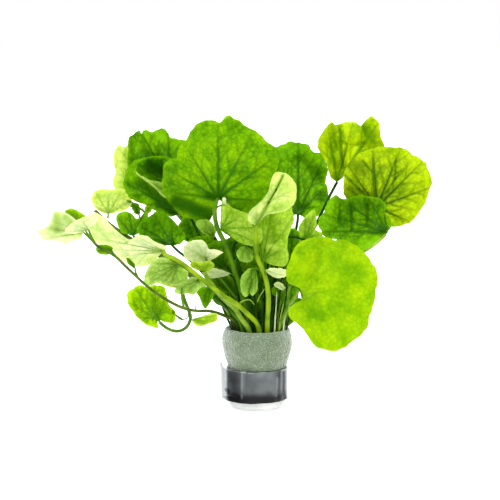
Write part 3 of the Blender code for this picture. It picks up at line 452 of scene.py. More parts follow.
            (0.3, 69.4, 1.9, 62.2, 1.2, 0.5), (4.3, 57.4, 9.1, 57.4, 1.2, -0.4),
            (11.5, 71.8, 12.3, 64.6, 1.6, -0.35), (3.5, 78.2, 9.1, 73.4, 1.2, 0.5),
        ),
        "folds": (
            (1.9, 64.6, 11.5, 62.2, 1.6, 1.4), (4.3, 77.4, 6.7, 66.2, 1.6, -1.2),
        ),
    },
    "leaf_white_small": {
        "grid": "small", "slot": "leaf_mint", "joint": (3.2, 54.1, 12.5), "look": "mint", "face": "under",
        "veins": (-15, -30), "quilt": 0.25, "vein_size": 0.6, "lean": 1.2, "turn": 0.25,
        "rim": [
            (4.5, 52.8), (7.4, 51.2), (11.1, 51.5), (12, 53.6), (8.8, 54.7), (5.1, 54.8),
        ],
        "painted_light_and_vein_lines": (
            (4.3, 53.4, 10.7, 53.4, 0.8, -0.9),
        ),
    },
    "leaf_pleated": {
        "grid": "middle", "slot": "leaf_pale", "joint": (-0.7, 55.2, 9.2), "look": "muted", "face": "under",
        "veins": (-105, -90, -120, -78), "quilt": 0.4, "lean": -0.3, "dish": 0.8,
        "rim": [
            (-3.9, 54.8), (-6.3, 51.8), (-6.7, 47.8, 1), (-5.8, 44.2), (-4.5, 43.4), (-3.2, 44.8, -1.5),
            (-1.9, 43.8, 0.5), (-0.3, 45.6), (0.4, 49.4),
        ],
        "painted_light_and_vein_lines": (
            (-2.1, 54.2, -3.7, 45.4, 0.5, 0.7), (-4.9, 52.6, -5.3, 46.2, 0.6, -0.4),
            (-1.3, 52.6, -1.3, 47, 0.6, -0.3), (-2.9, 51.8, -4.1, 46.2, 0.4, -0.5),
        ),
        "folds": (
            (-2.1, 54.2, -3.7, 45.4, 0.8, -1.0),
        ),
    },
    "leaf_hooded": {
        "grid": "small", "slot": "leaf_pale", "joint": (-4.1, 63.8, 5.6), "look": "muted", "face": "under",
        "veins": (-90, -60, -120), "quilt": 0.4, "lean": -0.3, "dish": 1.2,
        "rim": [
            (-6.9, 63.4), (-8.3, 60.8), (-7.1, 58.2), (-4.3, 57.2), (-1.8, 58.2), (-1.7, 61.6),
        ],
        "painted_light_and_vein_lines": (
            (-5.7, 62.2, -6.1, 58.2, 0.5, 0.5), (-3.7, 62.6, -3.3, 58.2, 0.5, 0.5),
            (-4.5, 62.2, -4.5, 58.2, 0.5, -0.5),
        ),
    },
    "leaf_right_back": {
        "grid": "large", "slot": "leaf_deep", "joint": (16.3, 76.6, -20), "look": "deep", "face": "under",
        "veins": (90, 115, 65, 45, 140), "quilt": 0.5, "ruffle": 1.5, "lean": -0.4, "turn": 0.2, "dish": -1.0,
        "rim": [
            (10.7, 75), (6.3, 80.6), (5.1, 87.8), (4.9, 95.8), (6.5, 102.8), (10.7, 105), (15.5, 105.5),
            (19.8, 104.4), (22.4, 101.6), (25.1, 101.2), (27.2, 97.9), (28.3, 94), (27, 90.1), (28, 86.6),
            (28.3, 82.6), (25.5, 77.4), (20.7, 74),
        ],
        "painted_light_and_vein_lines": (
            (18.7, 99, 23.5, 91.8, 2.4, 0.5), (24.3, 95, 25.9, 90.2, 1.6, 0.4),
            (9.9, 103, 18.7, 102.2, 2.4, -0.4), (17.1, 83.8, 24.3, 79, 2.4, -0.45),
            (8.3, 98.2, 9.9, 90.2, 2, -0.2), (21.1, 86.2, 23.5, 80.6, 2, -0.5),
            (17.1, 91, 18.7, 86.2, 2, -0.3), (13.9, 96.2, 13.1, 86.2, 1, 0.4),
        ),
        "folds": (
            (17.1, 97.4, 25.1, 88.6, 3.2, -1.6), (17.1, 83, 24.3, 79, 2.4, 1.2),
        ),
    },
    "leaf_cup_top": {
        "grid": "large", "slot": "leaf_lime", "joint": (32, 89.4, -12), "heart": (36.3, 104.2, -19),
        "look": "olive", "face": "upper", "veins": (75, 100, 55, 35), "quilt": 0.4, "vein_size": 0.6,
        "lean": -0.3,
        "rim": [
            (29.3, 91.2, 2), (27.1, 97.8, 5), (24.1, 103.6, 7), (25.5, 108.8, 7.5), (29.2, 113.2, 5),
            (30.9, 112, -2), (35.5, 113.3, -5.5), (39.1, 113.3, -5), (41.7, 111.6, -2), (44.1, 114.4, 3),
            (46, 115.7, 5), (48.8, 112.6, 6.5), (49.5, 107.8, 6.5), (50.8, 103.1, 4), (45.5, 101.2, 3),
            (40.5, 99.8, 1.5), (36.7, 95.4, 1), (34.9, 91.8, 0.5),
        ],
        "painted_light_and_vein_lines": (
            (35.9, 110.2, 37.1, 95, 1.6, -0.9), (33.1, 110.2, 34.3, 95, 0.8, 0.7),
            (29.9, 111.8, 31.5, 103, 1.2, 0.5), (25.9, 107, 27.5, 98.2, 1.2, -0.7),
            (39.9, 108.6, 37.9, 97.4, 0.8, -0.8), (43.5, 111, 46.7, 105.4, 2, 0.6),
            (41.9, 112.6, 43.5, 107.8, 0.8, 0.5), (47.5, 113.4, 49.5, 106.2, 0.8, -0.5),
            (29.9, 95, 33.1, 91.8, 1.6, -0.9),
        ),
        "folds": (
            (33.1, 111, 34.3, 95, 1.2, -1.6), (41.1, 111, 38.7, 98.2, 1.2, 1.4),
        ),
    },
    "leaf_right_veined": {
        "grid": "large", "slot": "leaf_lime", "joint": (47.9, 79.4, -2), "look": "olive", "face": "under",
        "veins": (94, 68, 45, 20, 125, 148, -25), "quilt": 0.5, "ruffle": 1.4, "vein_size": 1.1, "lean": 0.35,
        "turn": -0.2, "dish": -0.8,
        "rim": [
            (49.1, 72.6), (53.5, 71.4), (57.1, 71.8), (61.1, 73.2), (65.7, 78.7), (68.8, 85.4), (69.4, 91),
            (68.4, 94.8), (65.9, 98), (61.7, 100.6), (57.3, 103.1), (50.9, 103), (44.3, 101.9), (40.5, 100),
            (36.9, 96.6), (35.1, 91.8), (35, 84), (37.9, 79), (42.3, 75.8),
        ],
        "painted_light_and_vein_lines": (
            (46.3, 99, 46.7, 82.2, 0.5, 0.9), (55.5, 99, 55.1, 90.6, 0.5, 0.8),
            (55.1, 90.6, 48.3, 80.2, 0.6, 0.8), (34.9, 92.2, 40.7, 86.6, 0.5, 0.8),
            (40.7, 86.6, 47.5, 79.8, 0.6, 0.8), (61.5, 97.4, 55.5, 91, 0.4, 0.8),
            (45.9, 93.4, 41.9, 98.2, 0.4, 0.6), (48.3, 80.2, 57.9, 73.8, 0.5, 0.7),
            (46.7, 91, 49.9, 95.8, 0.4, 0.6), (51.5, 85.4, 61.9, 85.4, 0.4, 0.6),
            (61.9, 85.4, 66.7, 88.6, 0.4, 0.5), (36.3, 98.2, 41.9, 94.2, 3.2, 0.6),
            (60.3, 94.2, 64.3, 82.2, 3.6, -0.55), (55.1, 76.2, 64.3, 77.4, 2, -0.6),
            (58.7, 98.2, 62.7, 96.6, 2, -0.3), (37.9, 86.2, 41.9, 80.6, 2.4, 0.35),
            (50.7, 83.8, 56.3, 80.6, 2, -0.3), (67.5, 93.4, 68.7, 86.2, 1.2, -0.7),
            (45.9, 101.4, 53.9, 101.8, 1.2, 0.35),
        ),
        "folds": (
            (37.9, 98.2, 37.1, 83.8, 3.2, -1.8), (67.1, 94.2, 67.5, 84.2, 2.8, -1.6),
            (53.1, 72.6, 62.7, 75, 2.4, 1.2),
        ),
    },
    "leaf_cup_mid": {
        "grid": "large", "slot": "leaf_deep", "joint": (52.1, 69.6, 10), "heart": (40.3, 73.4, 5.4),
        "look": "deep", "face": "under", "veins": (165, 145, 120, 180, 100), "quilt": 0.5, "ruffle": 1.5,
        "lean": -0.35, "turn": -0.06, "dish": -0.8,
        "rim": [
            (48.3, 66.2, -1), (45.1, 63.6, -2), (42.1, 61.8, -2), (37.1, 63.8, -1), (31.5, 66.6), (26.4, 68.4),
            (24.8, 73.8), (27.1, 78.2), (28.7, 81.8), (31.3, 84.1), (33.9, 82.6), (36.7, 82.9), (40.3, 84.2),
            (44.3, 83.8), (49.1, 82.6), (51.8, 79.9), (50.9, 77), (53.2, 74.6), (53.3, 71),
        ],
        "painted_light_and_vein_lines": (
            (29.5, 82.6, 29.1, 76.6, 1.6, -0.6), (33.1, 80.6, 32.7, 73.4, 0.7, 0.7),
            (37.5, 80.6, 37.9, 70.2, 0.8, 0.7), (43.9, 80.6, 43.9, 72.2, 0.8, 0.7),
            (40.3, 79.8, 41.1, 73.4, 1.2, -0.25), (50.7, 76.6, 51.5, 68.6, 1.6, -0.9),
            (48.3, 67, 43.5, 63.4, 1.4, -0.9), (35.1, 82.2, 35.5, 75.8, 0.8, -0.3),
            (26.7, 75.8, 29.1, 70.2, 1.6, -0.3), (46.7, 81, 48.3, 74.2, 0.8, -0.25),
            (33.1, 69.4, 37.9, 66.2, 1.6, -0.25),
        ),
        "folds": (
            (33.1, 82.2, 32.7, 71.8, 1, -1.2), (37.9, 82.2, 37.9, 70.2, 1, -1.2),
            (43.9, 82.2, 44.3, 71, 1, -1.2), (50.7, 77.4, 52.3, 69.4, 1.6, 1.6),
        ),
    },
    "leaf_front_right": {
        "grid": "large", "slot": "leaf_lime", "joint": (18.3, 44.2, 26), "heart": (24.3, 46.2, 25.2),
        "look": "sun", "face": "upper", "veins": (8, 46, -30, -62, 80, -100), "quilt": 0.45, "vein_size": 0.5,
        "vein_mark": 0.3, "ruffle": 1.3, "lean": -0.4, "turn": -0.15, "dish": 0.8,
        "rim": [
            (17.2, 40.8), (14.9, 40), (12.8, 38.6), (12.9, 35.4), (16.4, 32.4), (20.4, 27.6), (23.2, 23.8),
            (29.1, 21.7), (34.7, 23.2), (39.3, 26.3), (43.9, 31.9), (45.4, 37.6), (47, 43.8), (48.1, 49.8),
            (47, 54.9), (43.4, 60), (39.3, 63.6), (35.5, 66.2), (30.7, 66), (25.5, 67.5), (19.4, 66.2),
            (14.8, 62.6), (12.8, 57.4), (11.7, 53), (12.4, 49.2), (14.8, 48.3), (16.9, 47.2),
        ],
        "painted_light_and_vein_lines": (
            (23.1, 50.6, 25.3, 61, 1.2, 0.45), (17.9, 43.8, 24.3, 42.2, 2.4, 0.35),
            (17.1, 39.8, 25.9, 35, 2.4, 0.4), (13.9, 59.8, 17.9, 55, 2, -0.7),
            (19.5, 64.6, 29.1, 64.6, 1.6, 0.25), (29.1, 30.2, 37.9, 28.6, 3.2, -0.25),
            (39.5, 42.2, 44.3, 38.2, 3.2, -0.2), (27.5, 57.4, 30.7, 51.8, 2.4, -0.35),
            (37.1, 57.4, 43.5, 51.8, 2.4, 0.3), (17.9, 50.2, 20.3, 56.6, 1.2, -0.3),
            (33.1, 46.2, 37.1, 47.8, 2, 0.2), (29.1, 37.4, 32.3, 33.4, 2.4, 0.2),
        ),
        "folds": (
            (21.9, 49.4, 25.9, 63, 2, -1.6), (15.5, 57.4, 18.7, 62.2, 2.4, 1.6),
            (17.1, 39, 29.1, 30.2, 3.2, -1.2), (33.1, 54.2, 41.1, 58.2, 3.6, 1.2),
        ),
    },
    "leaf_right_small": {
        "grid": "small", "slot": "leaf_fresh", "joint": (19.1, 66.4, 2), "look": "fresh", "face": "under",
        "veins": (70, 90, 50), "quilt": 0.4, "lean": 0.1,
        "rim": [
            (16.9, 67.8), (16.5, 71), (18.3, 74.2), (22.7, 78.2), (23.7, 73.4), (22.9, 68.6),
        ],
        "painted_light_and_vein_lines": (
            (17.9, 69.4, 21.1, 72.6, 1.6, -0.7),
        ),
    },
    "leaf_inner_left": {
        "grid": "middle", "slot": "leaf_deep", "joint": (-13.5, 55, -1), "look": "deep", "face": "under",
        "veins": (120, 90, 150), "quilt": 0.4, "lean": 0.5, "dish": -0.5,
        "rim": [
            (-17.7, 55.4), (-20.5, 59), (-20.1, 63.4), (-16.1, 65.8), (-12.5, 64.2), (-11.1, 59.8),
            (-11.3, 56.6),
        ],
        "painted_light_and_vein_lines": (
            (-18.9, 62.2, -14.9, 57.4, 3.6, 0.5),
        ),
    },
    "leaf_inner_low": {
        "grid": "middle", "slot": "leaf_deep", "joint": (-8.3, 43.8, 1), "look": "deep", "face": "under",
        "veins": (120, 150, 90), "quilt": 0.4, "lean": -0.25, "dish": -0.3,
        "rim": [
            (-12.5, 45), (-16.9, 47.8), (-18.7, 51.4), (-15.3, 53.4), (-11.5, 52.2), (-8.5, 49.4),
            (-6.9, 46.6),
        ],
        "painted_light_and_vein_lines": (
            (-16.5, 51.8, -9.3, 46.2, 3.6, 0.7),
        ),
    },
}
print("leaves in the layout:", len(LEAVES))

# %% [markdown]
# Between the big leaves sit the young ones: buds, tips and half-open blades of a few millimetres. They are
# too small for the solids, so they exist only here, and each sits on a stem that is there.

# %% Young leaves
YOUNG = {
    "inner_mid_left": {
        "grid": "small", "slot": "leaf_deep", "joint": (-9.7, 57.4, -6), "look": "deep", "face": "under",
        "way": 105, "reach": 9.6, "quilt": 0.25, "lean": 0.2,
    },
    "inner_mid_low": {
        "grid": "small", "slot": "leaf_deep", "joint": (-4.5, 41.4, -7), "look": "deep", "face": "under",
        "way": 98, "reach": 13.6, "quilt": 0.25, "lean": 0.1,
    },
    "inner_right_low": {
        "grid": "small", "slot": "leaf_deep", "joint": (2.7, 41.4, -8), "look": "deep", "face": "under",
        "way": 78, "reach": 13.6, "quilt": 0.25, "lean": -0.1,
    },
    "inner_right": {
        "grid": "small", "slot": "leaf_deep", "joint": (8.7, 37.4, -9), "look": "deep", "face": "under",
        "way": 76, "reach": 12.0, "quilt": 0.25, "lean": 0.1,
    },
    "inner_center": {
        "grid": "small", "slot": "leaf_deep", "joint": (-1.3, 56.6, -10), "look": "deep", "face": "under",
        "way": 105, "reach": 12.0, "quilt": 0.25, "lean": 0.2,
    },
    "inner_right_high": {
        "grid": "small", "slot": "leaf_deep", "joint": (13.5, 56.6, -13), "look": "deep", "face": "under",
        "way": 88, "reach": 13.6, "quilt": 0.25, "width": 0.8,
    },
    "inner_right_side": {
        "grid": "small", "slot": "leaf_fresh", "joint": (18.7, 61.4, -9), "look": "fresh", "face": "under",
        "way": 62, "reach": 10.4, "quilt": 0.25, "width": 0.9,
    },
    "inner_left_high": {
        "grid": "small", "slot": "leaf_deep", "joint": (-18.1, 57.4, -7), "look": "deep", "face": "under",
        "way": 128, "reach": 12.0, "quilt": 0.25,
    },
    "inner_left_back": {
        "grid": "small", "slot": "leaf_deep", "joint": (-24.5, 64.6, -12), "look": "deep", "face": "under",
        "way": 112, "reach": 12.0, "quilt": 0.25, "width": 0.8,
    },
    "inner_left_low": {
        "grid": "small", "slot": "leaf_deep", "joint": (-12.5, 40.6, -3), "look": "deep", "face": "under",
        "way": 128, "reach": 10.4, "quilt": 0.25, "width": 0.7,
    },
    "inner_under_crown": {
        "grid": "small", "slot": "leaf_deep", "joint": (-8.5, 66.2, -14), "look": "deep", "face": "under",
        "way": 80, "reach": 12.8, "quilt": 0.25,
    },
    "inner_front_leaf": {
        "grid": "tiny", "slot": "leaf_fresh", "joint": (9.5, 42.2, 5), "look": "deep", "face": "under",
        "way": 105, "reach": 6.8, "quilt": 0.25, "width": 0.75,
    },
    "inner_small_right": {
        "grid": "tiny", "slot": "leaf_mint", "joint": (11.1, 46.6, 7), "look": "mint", "face": "under",
        "way": 150, "reach": 4.8, "quilt": 0.25, "width": 0.5,
    },
    "inner_tip_low": {
        "grid": "tiny", "slot": "leaf_deep", "joint": (-8.5, 37.4, 1), "look": "deep", "face": "under",
        "way": 112, "reach": 6.0, "quilt": 0.25, "width": 0.6,
    },
    "inner_gap_a": {
        "grid": "small", "slot": "leaf_deep", "joint": (-6.9, 48.6, -5), "look": "deep", "face": "under",
        "way": 95, "reach": 10.4, "quilt": 0.25, "lean": 0.2,
    },
    "inner_gap_b": {
        "grid": "small", "slot": "leaf_deep", "joint": (0.3, 47.8, -6), "look": "deep", "face": "under",
        "way": 88, "reach": 12.0, "quilt": 0.25, "lean": 0.1,
    },
    "inner_gap_c": {
        "grid": "small", "slot": "leaf_deep", "joint": (6.7, 47, -7), "look": "deep", "face": "under",
        "way": 84, "reach": 12.0, "quilt": 0.25, "lean": 0.1,
    },
    "inner_gap_d": {
        "grid": "small", "slot": "leaf_deep", "joint": (11.9, 46.2, -8), "look": "deep", "face": "under",
        "way": 82, "reach": 12.8, "quilt": 0.25, "width": 0.9,
    },
    "inner_gap_e": {
        "grid": "small", "slot": "leaf_deep", "joint": (-13.3, 47, -5), "look": "deep", "face": "under",
        "way": 110, "reach": 10.4, "quilt": 0.25,
    },
    "inner_foot_a": {
        "grid": "small", "slot": "leaf_deep", "joint": (-3.7, 31, -9), "look": "deep", "face": "under",
        "way": 100, "reach": 13.6, "quilt": 0.25,
    },
    "inner_foot_b": {
        "grid": "small", "slot": "leaf_deep", "joint": (3.5, 30.2, -9), "look": "deep", "face": "under",
        "way": 84, "reach": 13.6, "quilt": 0.25,
    },
    "inner_foot_c": {
        "grid": "small", "slot": "leaf_deep", "joint": (9.1, 31, -9), "look": "deep", "face": "under",
        "way": 74, "reach": 12.0, "quilt": 0.25, "width": 0.8,
    },
    "margin_rolled": {
        "grid": "tiny", "slot": "leaf_pale", "joint": (-37.3, 85.8, -3.4), "look": "rolled", "face": "under",
        "way": 180, "quilt": 0.25, "turn": -0.4,
        "rim": [
            (-36.5, 88.8, 0), (-39.7, 89.6, 0.4), (-43.7, 90.4, 0.8), (-46.9, 92, 0.8), (-48.8, 93.7, 0.2),
            (-47.5, 91.8, -0.6), (-45.3, 90.4, -0.8), (-42.9, 88.6, -0.8), (-40.1, 86.1, -0.8),
            (-37.3, 83.3, -0.8), (-35.3, 82.6, -0.6),
        ],
    },
    "shoot_left_a": {
        "grid": "tiny", "slot": "leaf_deep", "joint": (-47.3, 76.6, -15), "look": "deep", "face": "under",
        "way": 118, "reach": 5.2, "quilt": 0.25, "width": 0.6,
    },
    "shoot_left_b": {
        "grid": "tiny", "slot": "leaf_fresh", "joint": (-44.5, 77, -15), "look": "fresh", "face": "under",
        "way": 60, "reach": 4.0, "quilt": 0.25, "width": 0.7,
    },
    "shoot_left_c": {
        "grid": "tiny", "slot": "leaf_deep", "joint": (-49.3, 79.8, -15), "look": "deep", "face": "under",
        "way": 150, "reach": 3.6, "quilt": 0.25, "width": 0.7,
    },
    "node_leaf_low": {
        "grid": "tiny", "slot": "leaf_deep", "joint": (-58.1, 61.8, 30.5), "look": "deep", "face": "under",
        "way": 180, "quilt": 0.25,
        "rim": [
            (-58.9, 60.4), (-61.1, 60.3), (-63.7, 61), (-64.6, 62.8), (-63.7, 64.1), (-61.3, 64.3),
            (-58.9, 63.8), (-57.7, 63),
        ],
    },
    "node_leaf_dark": {
        "grid": "tiny", "slot": "leaf_deep", "joint": (-48.9, 55, 24), "look": "deep", "face": "under",
        "way": 130, "reach": 5.2, "quilt": 0.25, "width": 0.35,
    },
    "bud_center": {
        "grid": "tiny", "slot": "leaf_mint", "joint": (-12.9, 80.2, 7), "look": "mint", "face": "under",
        "way": 100, "reach": 3.2, "quilt": 0.25, "width": 0.45,
    },
    "bud_left": {
        "grid": "tiny", "slot": "leaf_deep", "joint": (-33.1, 36.4, 15), "look": "deep", "face": "under",
        "way": 120, "reach": 2.0, "quilt": 0.25, "width": 0.5,
    },
    "bud_notch": {
        "grid": "tiny", "slot": "leaf_deep", "joint": (18.1, 42, 25), "look": "deep", "face": "under",
        "way": 178, "reach": 3.6, "quilt": 0.25, "width": 0.5,
    },
    "curl_veined_low": {
        "grid": "tiny", "slot": "leaf_lime", "joint": (-30.1, 47, 17.5), "look": "lime", "face": "under",
        "way": 165, "reach": 4.8, "quilt": 0.25, "width": 0.3,
    },
}
print("young leaves:", len(YOUNG))

# %% [markdown]
# The stems are routes through space as well, from the slot in the foam's well that holds the cut end, up to
# the leaf. A few hair-thin ones carry the young leaves.

# %% Stem layout
STEMS = {
    "stem_crown": {
        "radius": 1.15, "slot": (-2.6, -4.4), "tone": "grass",
        "route": [
            (-5.7, 42.2, 4.6), (-7.4, 49, 4.8), (-9, 53.5, 4.6), (-10.9, 59.6, 5.5), (-13.5, 66, 6),
            (-16, 71.2, 6.6), (-17, 76.6, 8), (-16.8, 80, 8), (-16.2, 81.9, 6.8),
        ],
    },
    "stem_arch_left": {
        "radius": 1.1, "slot": (1.1, -6.9), "tone": "bright",
        "route": [
            (-0.3, 33, 9), (-3.6, 36.4, 11), (-8.1, 40.4, 13.5), (-13.7, 44, 16.5), (-18.6, 47.9, 18.5),
            (-23.2, 51.4, 19.2), (-26.3, 54, 19.2), (-30.9, 57.4, 18.8), (-34.5, 59.4, 18),
            (-36.9, 60.3, 16.9),
        ],
    },
    "stem_second": {
        "radius": 1.2, "slot": (-1.9, -7.3), "tone": "light",
        "route": [
            (-3.9, 31.4, 8), (-7, 35.6, 9), (-8.7, 38.6, 9.2), (-12.1, 41.4, 9.2), (-16.9, 46.6, 9),
            (-19.5, 50.2, 9.2), (-21.1, 53, 9.4),
        ],
    },
    "stem_low_left": {
        "radius": 0.7, "slot": (-6.9, -2.6), "tone": "olive",
        "route": [
            (-8.5, 33.2, 4), (-13.3, 36, 8), (-19.3, 37.8, 13), (-24.9, 37.9, 17), (-29.3, 38.9, 19),
            (-34.9, 41.5, 21), (-42.9, 46.8, 23.5), (-50.9, 54, 27), (-58.1, 60.6, 30), (-63.7, 63.6, 31.8),
            (-66.7, 66.8, 34.4),
        ],
    },
    "stem_upper_left": {
        "radius": 1.0, "slot": (-6.7, 1.0), "tone": "olive",
        "route": [
            (-7.7, 33.4, -1.8), (-16.9, 43, -4), (-28.9, 53.4, -8), (-40.9, 61, -11), (-49.8, 66.2, -13),
            (-55.1, 69.6, -13.5), (-60.2, 73.5, -13), (-64.4, 77.4, -11),
        ],
    },
    "stem_front": {
        "radius": 1.15, "slot": (4.1, -6.6), "tone": "bright",
        "route": [
            (4.1, 34.2, 8), (4.4, 39, 9), (4.4, 44.2, 10), (3.5, 50.2, 10.4), (2, 54.6, 10.6),
            (0.3, 58.4, 11.4), (-0.7, 64.6, 13), (-0.5, 69.8, 14.4),
        ],
    },
    "stalk_hook": {
        "radius": 0.85, "slot": (-5.1, -5.3), "tone": "grass", "spacing": 5.0,
        "route": [
            (-6.9, 33.4, 6), (-12.9, 39.8, 6), (-19.7, 45, 6), (-24.9, 48.4, 7.5), (-28.1, 48.8, 8.5),
            (-29.8, 46.6, 9), (-29.5, 43.4, 9.5), (-27.8, 39, 10.5), (-26.7, 35, 12), (-27.9, 31.8, 13),
            (-30.7, 29.9, 15), (-34.3, 30.1, 17.2), (-37.1, 31.6, 18.2), (-38.9, 33.2, 17),
        ],
    },
    "stalk_left_back": {
        "radius": 0.75, "slot": (-1.5, 4.2), "tone": "deep",
        "route": [
            (-6.9, 40.2, -6), (-14.1, 55, -10), (-22.1, 70.2, -15), (-28.9, 81, -20), (-33.5, 88.2, -22),
        ],
    },
    "stalk_left_rolled": {
        "radius": 0.7, "slot": (-4.1, 2.3), "tone": "deep",
        "route": [
            (-8.5, 40.2, -3.5), (-14.9, 53.4, -6), (-22.1, 66.2, -8), (-27.7, 77.4, -8.2), (-33.5, 87.8, -6.6),
        ],
    },
    "stalk_left_lower": {
        "radius": 0.7, "slot": (-6.4, 3.2), "tone": "deep",
        "route": [
            (-11.3, 42.2, -6), (-18.1, 53.4, -10.5), (-24.5, 66.2, -15.5), (-30.2, 75.6, -15.4),
        ],
    },
    "stalk_far_left": {
        "radius": 0.7, "slot": (-3.5, 6.3), "tone": "grass",
        "route": [
            (-8.5, 40.2, -12), (-18.1, 57.4, -20), (-30.9, 75, -31), (-41.9, 86.8, -36),
        ],
    },
    "stalk_pale_round": {
        "radius": 0.5, "slot": None, "tone": "light",
        "route": [
            (-59.9, 74.8, -13.2), (-59.7, 75.6, -13.4), (-59.6, 76.3, -13.6),
        ],
    },
    "stalk_green_mid": {
        "radius": 0.7, "slot": (-3.7, -1.6), "tone": "deep",
        "route": [
            (-7.7, 37.4, 2), (-16.5, 47, 2.8), (-26.1, 57.4, 1.4), (-33.5, 63.5, 0.2),
        ],
    },
    "stalk_green_small": {
        "radius": 0.65, "slot": (-7.8, -0.9), "tone": "olive",
        "route": [
            (-12.5, 40.2, 0), (-26.9, 53.4, -5), (-39.7, 61.6, -8), (-49, 67.3, -8.2),
        ],
    },
    "stalk_pale_mid": {
        "radius": 0.65, "slot": (-1.3, -1.9), "tone": "grass",
        "route": [
            (-5.6, 38.2, 1.6), (-11.7, 47, 3.4), (-17.3, 53.8, 1.8), (-20.1, 58, 5.2),
        ],
    },
    "stem_inner": {
        "radius": 0.8, "slot": (-1.1, 1.0), "tone": "deep",
        "route": [
            (-4.5, 37.4, -0.8), (-7.1, 43.8, -1.4), (-11.1, 53.4, -3.4), (-14.5, 62.2, -4.4),
            (-16.8, 66.8, -4.2),
        ],
    },
    "stalk_hooded": {
        "radius": 0.75, "slot": (0.7, -3.6), "tone": "deep",
        "route": [
            (-1.9, 36.2, 3.6), (-5.1, 47.8, 3.8), (-7.7, 57.4, 4), (-9.5, 62.2, 4.4), (-8.9, 64.9, 4.6),
            (-6.7, 66, 5), (-5.6, 65.8, 5.4),
        ],
    },
    "stalk_right_back": {
        "radius": 0.75, "slot": (2.9, 4.6), "tone": "deep",
        "route": [
            (7.9, 40.2, -8), (11.5, 56.2, -14), (15.5, 70.2, -19), (16.3, 76, -20),
        ],
    },
    "stalk_cup_top": {
        "radius": 0.75, "slot": (5.7, 2.2), "tone": "deep",
        "route": [
            (10.3, 40.2, -4), (17.1, 57.4, -8), (25.9, 77.4, -11.4), (31.6, 88.7, -12),
        ],
    },
    "stalk_right_veined": {
        "radius": 0.75, "slot": (7.8, 0.5), "tone": "grass",
        "route": [
            (12.3, 38.2, 0), (21.9, 54.2, -1), (35.1, 68.6, -1.4), (43.5, 76, 1.2), (47.1, 78.7, 0.8),
        ],
    },
    "stalk_cup_mid": {
        "radius": 0.75, "slot": (7.1, -1.9), "tone": "light",
        "route": [
            (11.5, 37.4, 3), (18.7, 48.6, 5.5), (29.9, 56.6, 8), (42.1, 61.2, 12), (47.9, 65.1, 14.2),
            (51.3, 68.3, 13),
        ],
    },
    "stalk_front_right": {
        "radius": 0.7, "slot": (5.6, -3.9), "tone": "grass",
        "route": [
            (9.3, 33.4, 6.6), (11.1, 37, 9), (12.2, 41.4, 12.5), (12.6, 46.2, 15.5), (13.7, 48.4, 18.2),
            (15.9, 47.6, 21), (17.6, 45.5, 23.4),
        ],
    },
    "stalk_right_small": {
        "radius": 0.6, "slot": (4.1, -1.2), "tone": "deep",
        "route": [
            (5.9, 38.2, 2), (7.5, 50.2, 2.6), (8.9, 62.2, 3), (11.5, 67, 3.2), (15.1, 67.4, 3),
            (17.9, 66.5, 2.6),
        ],
    },
}
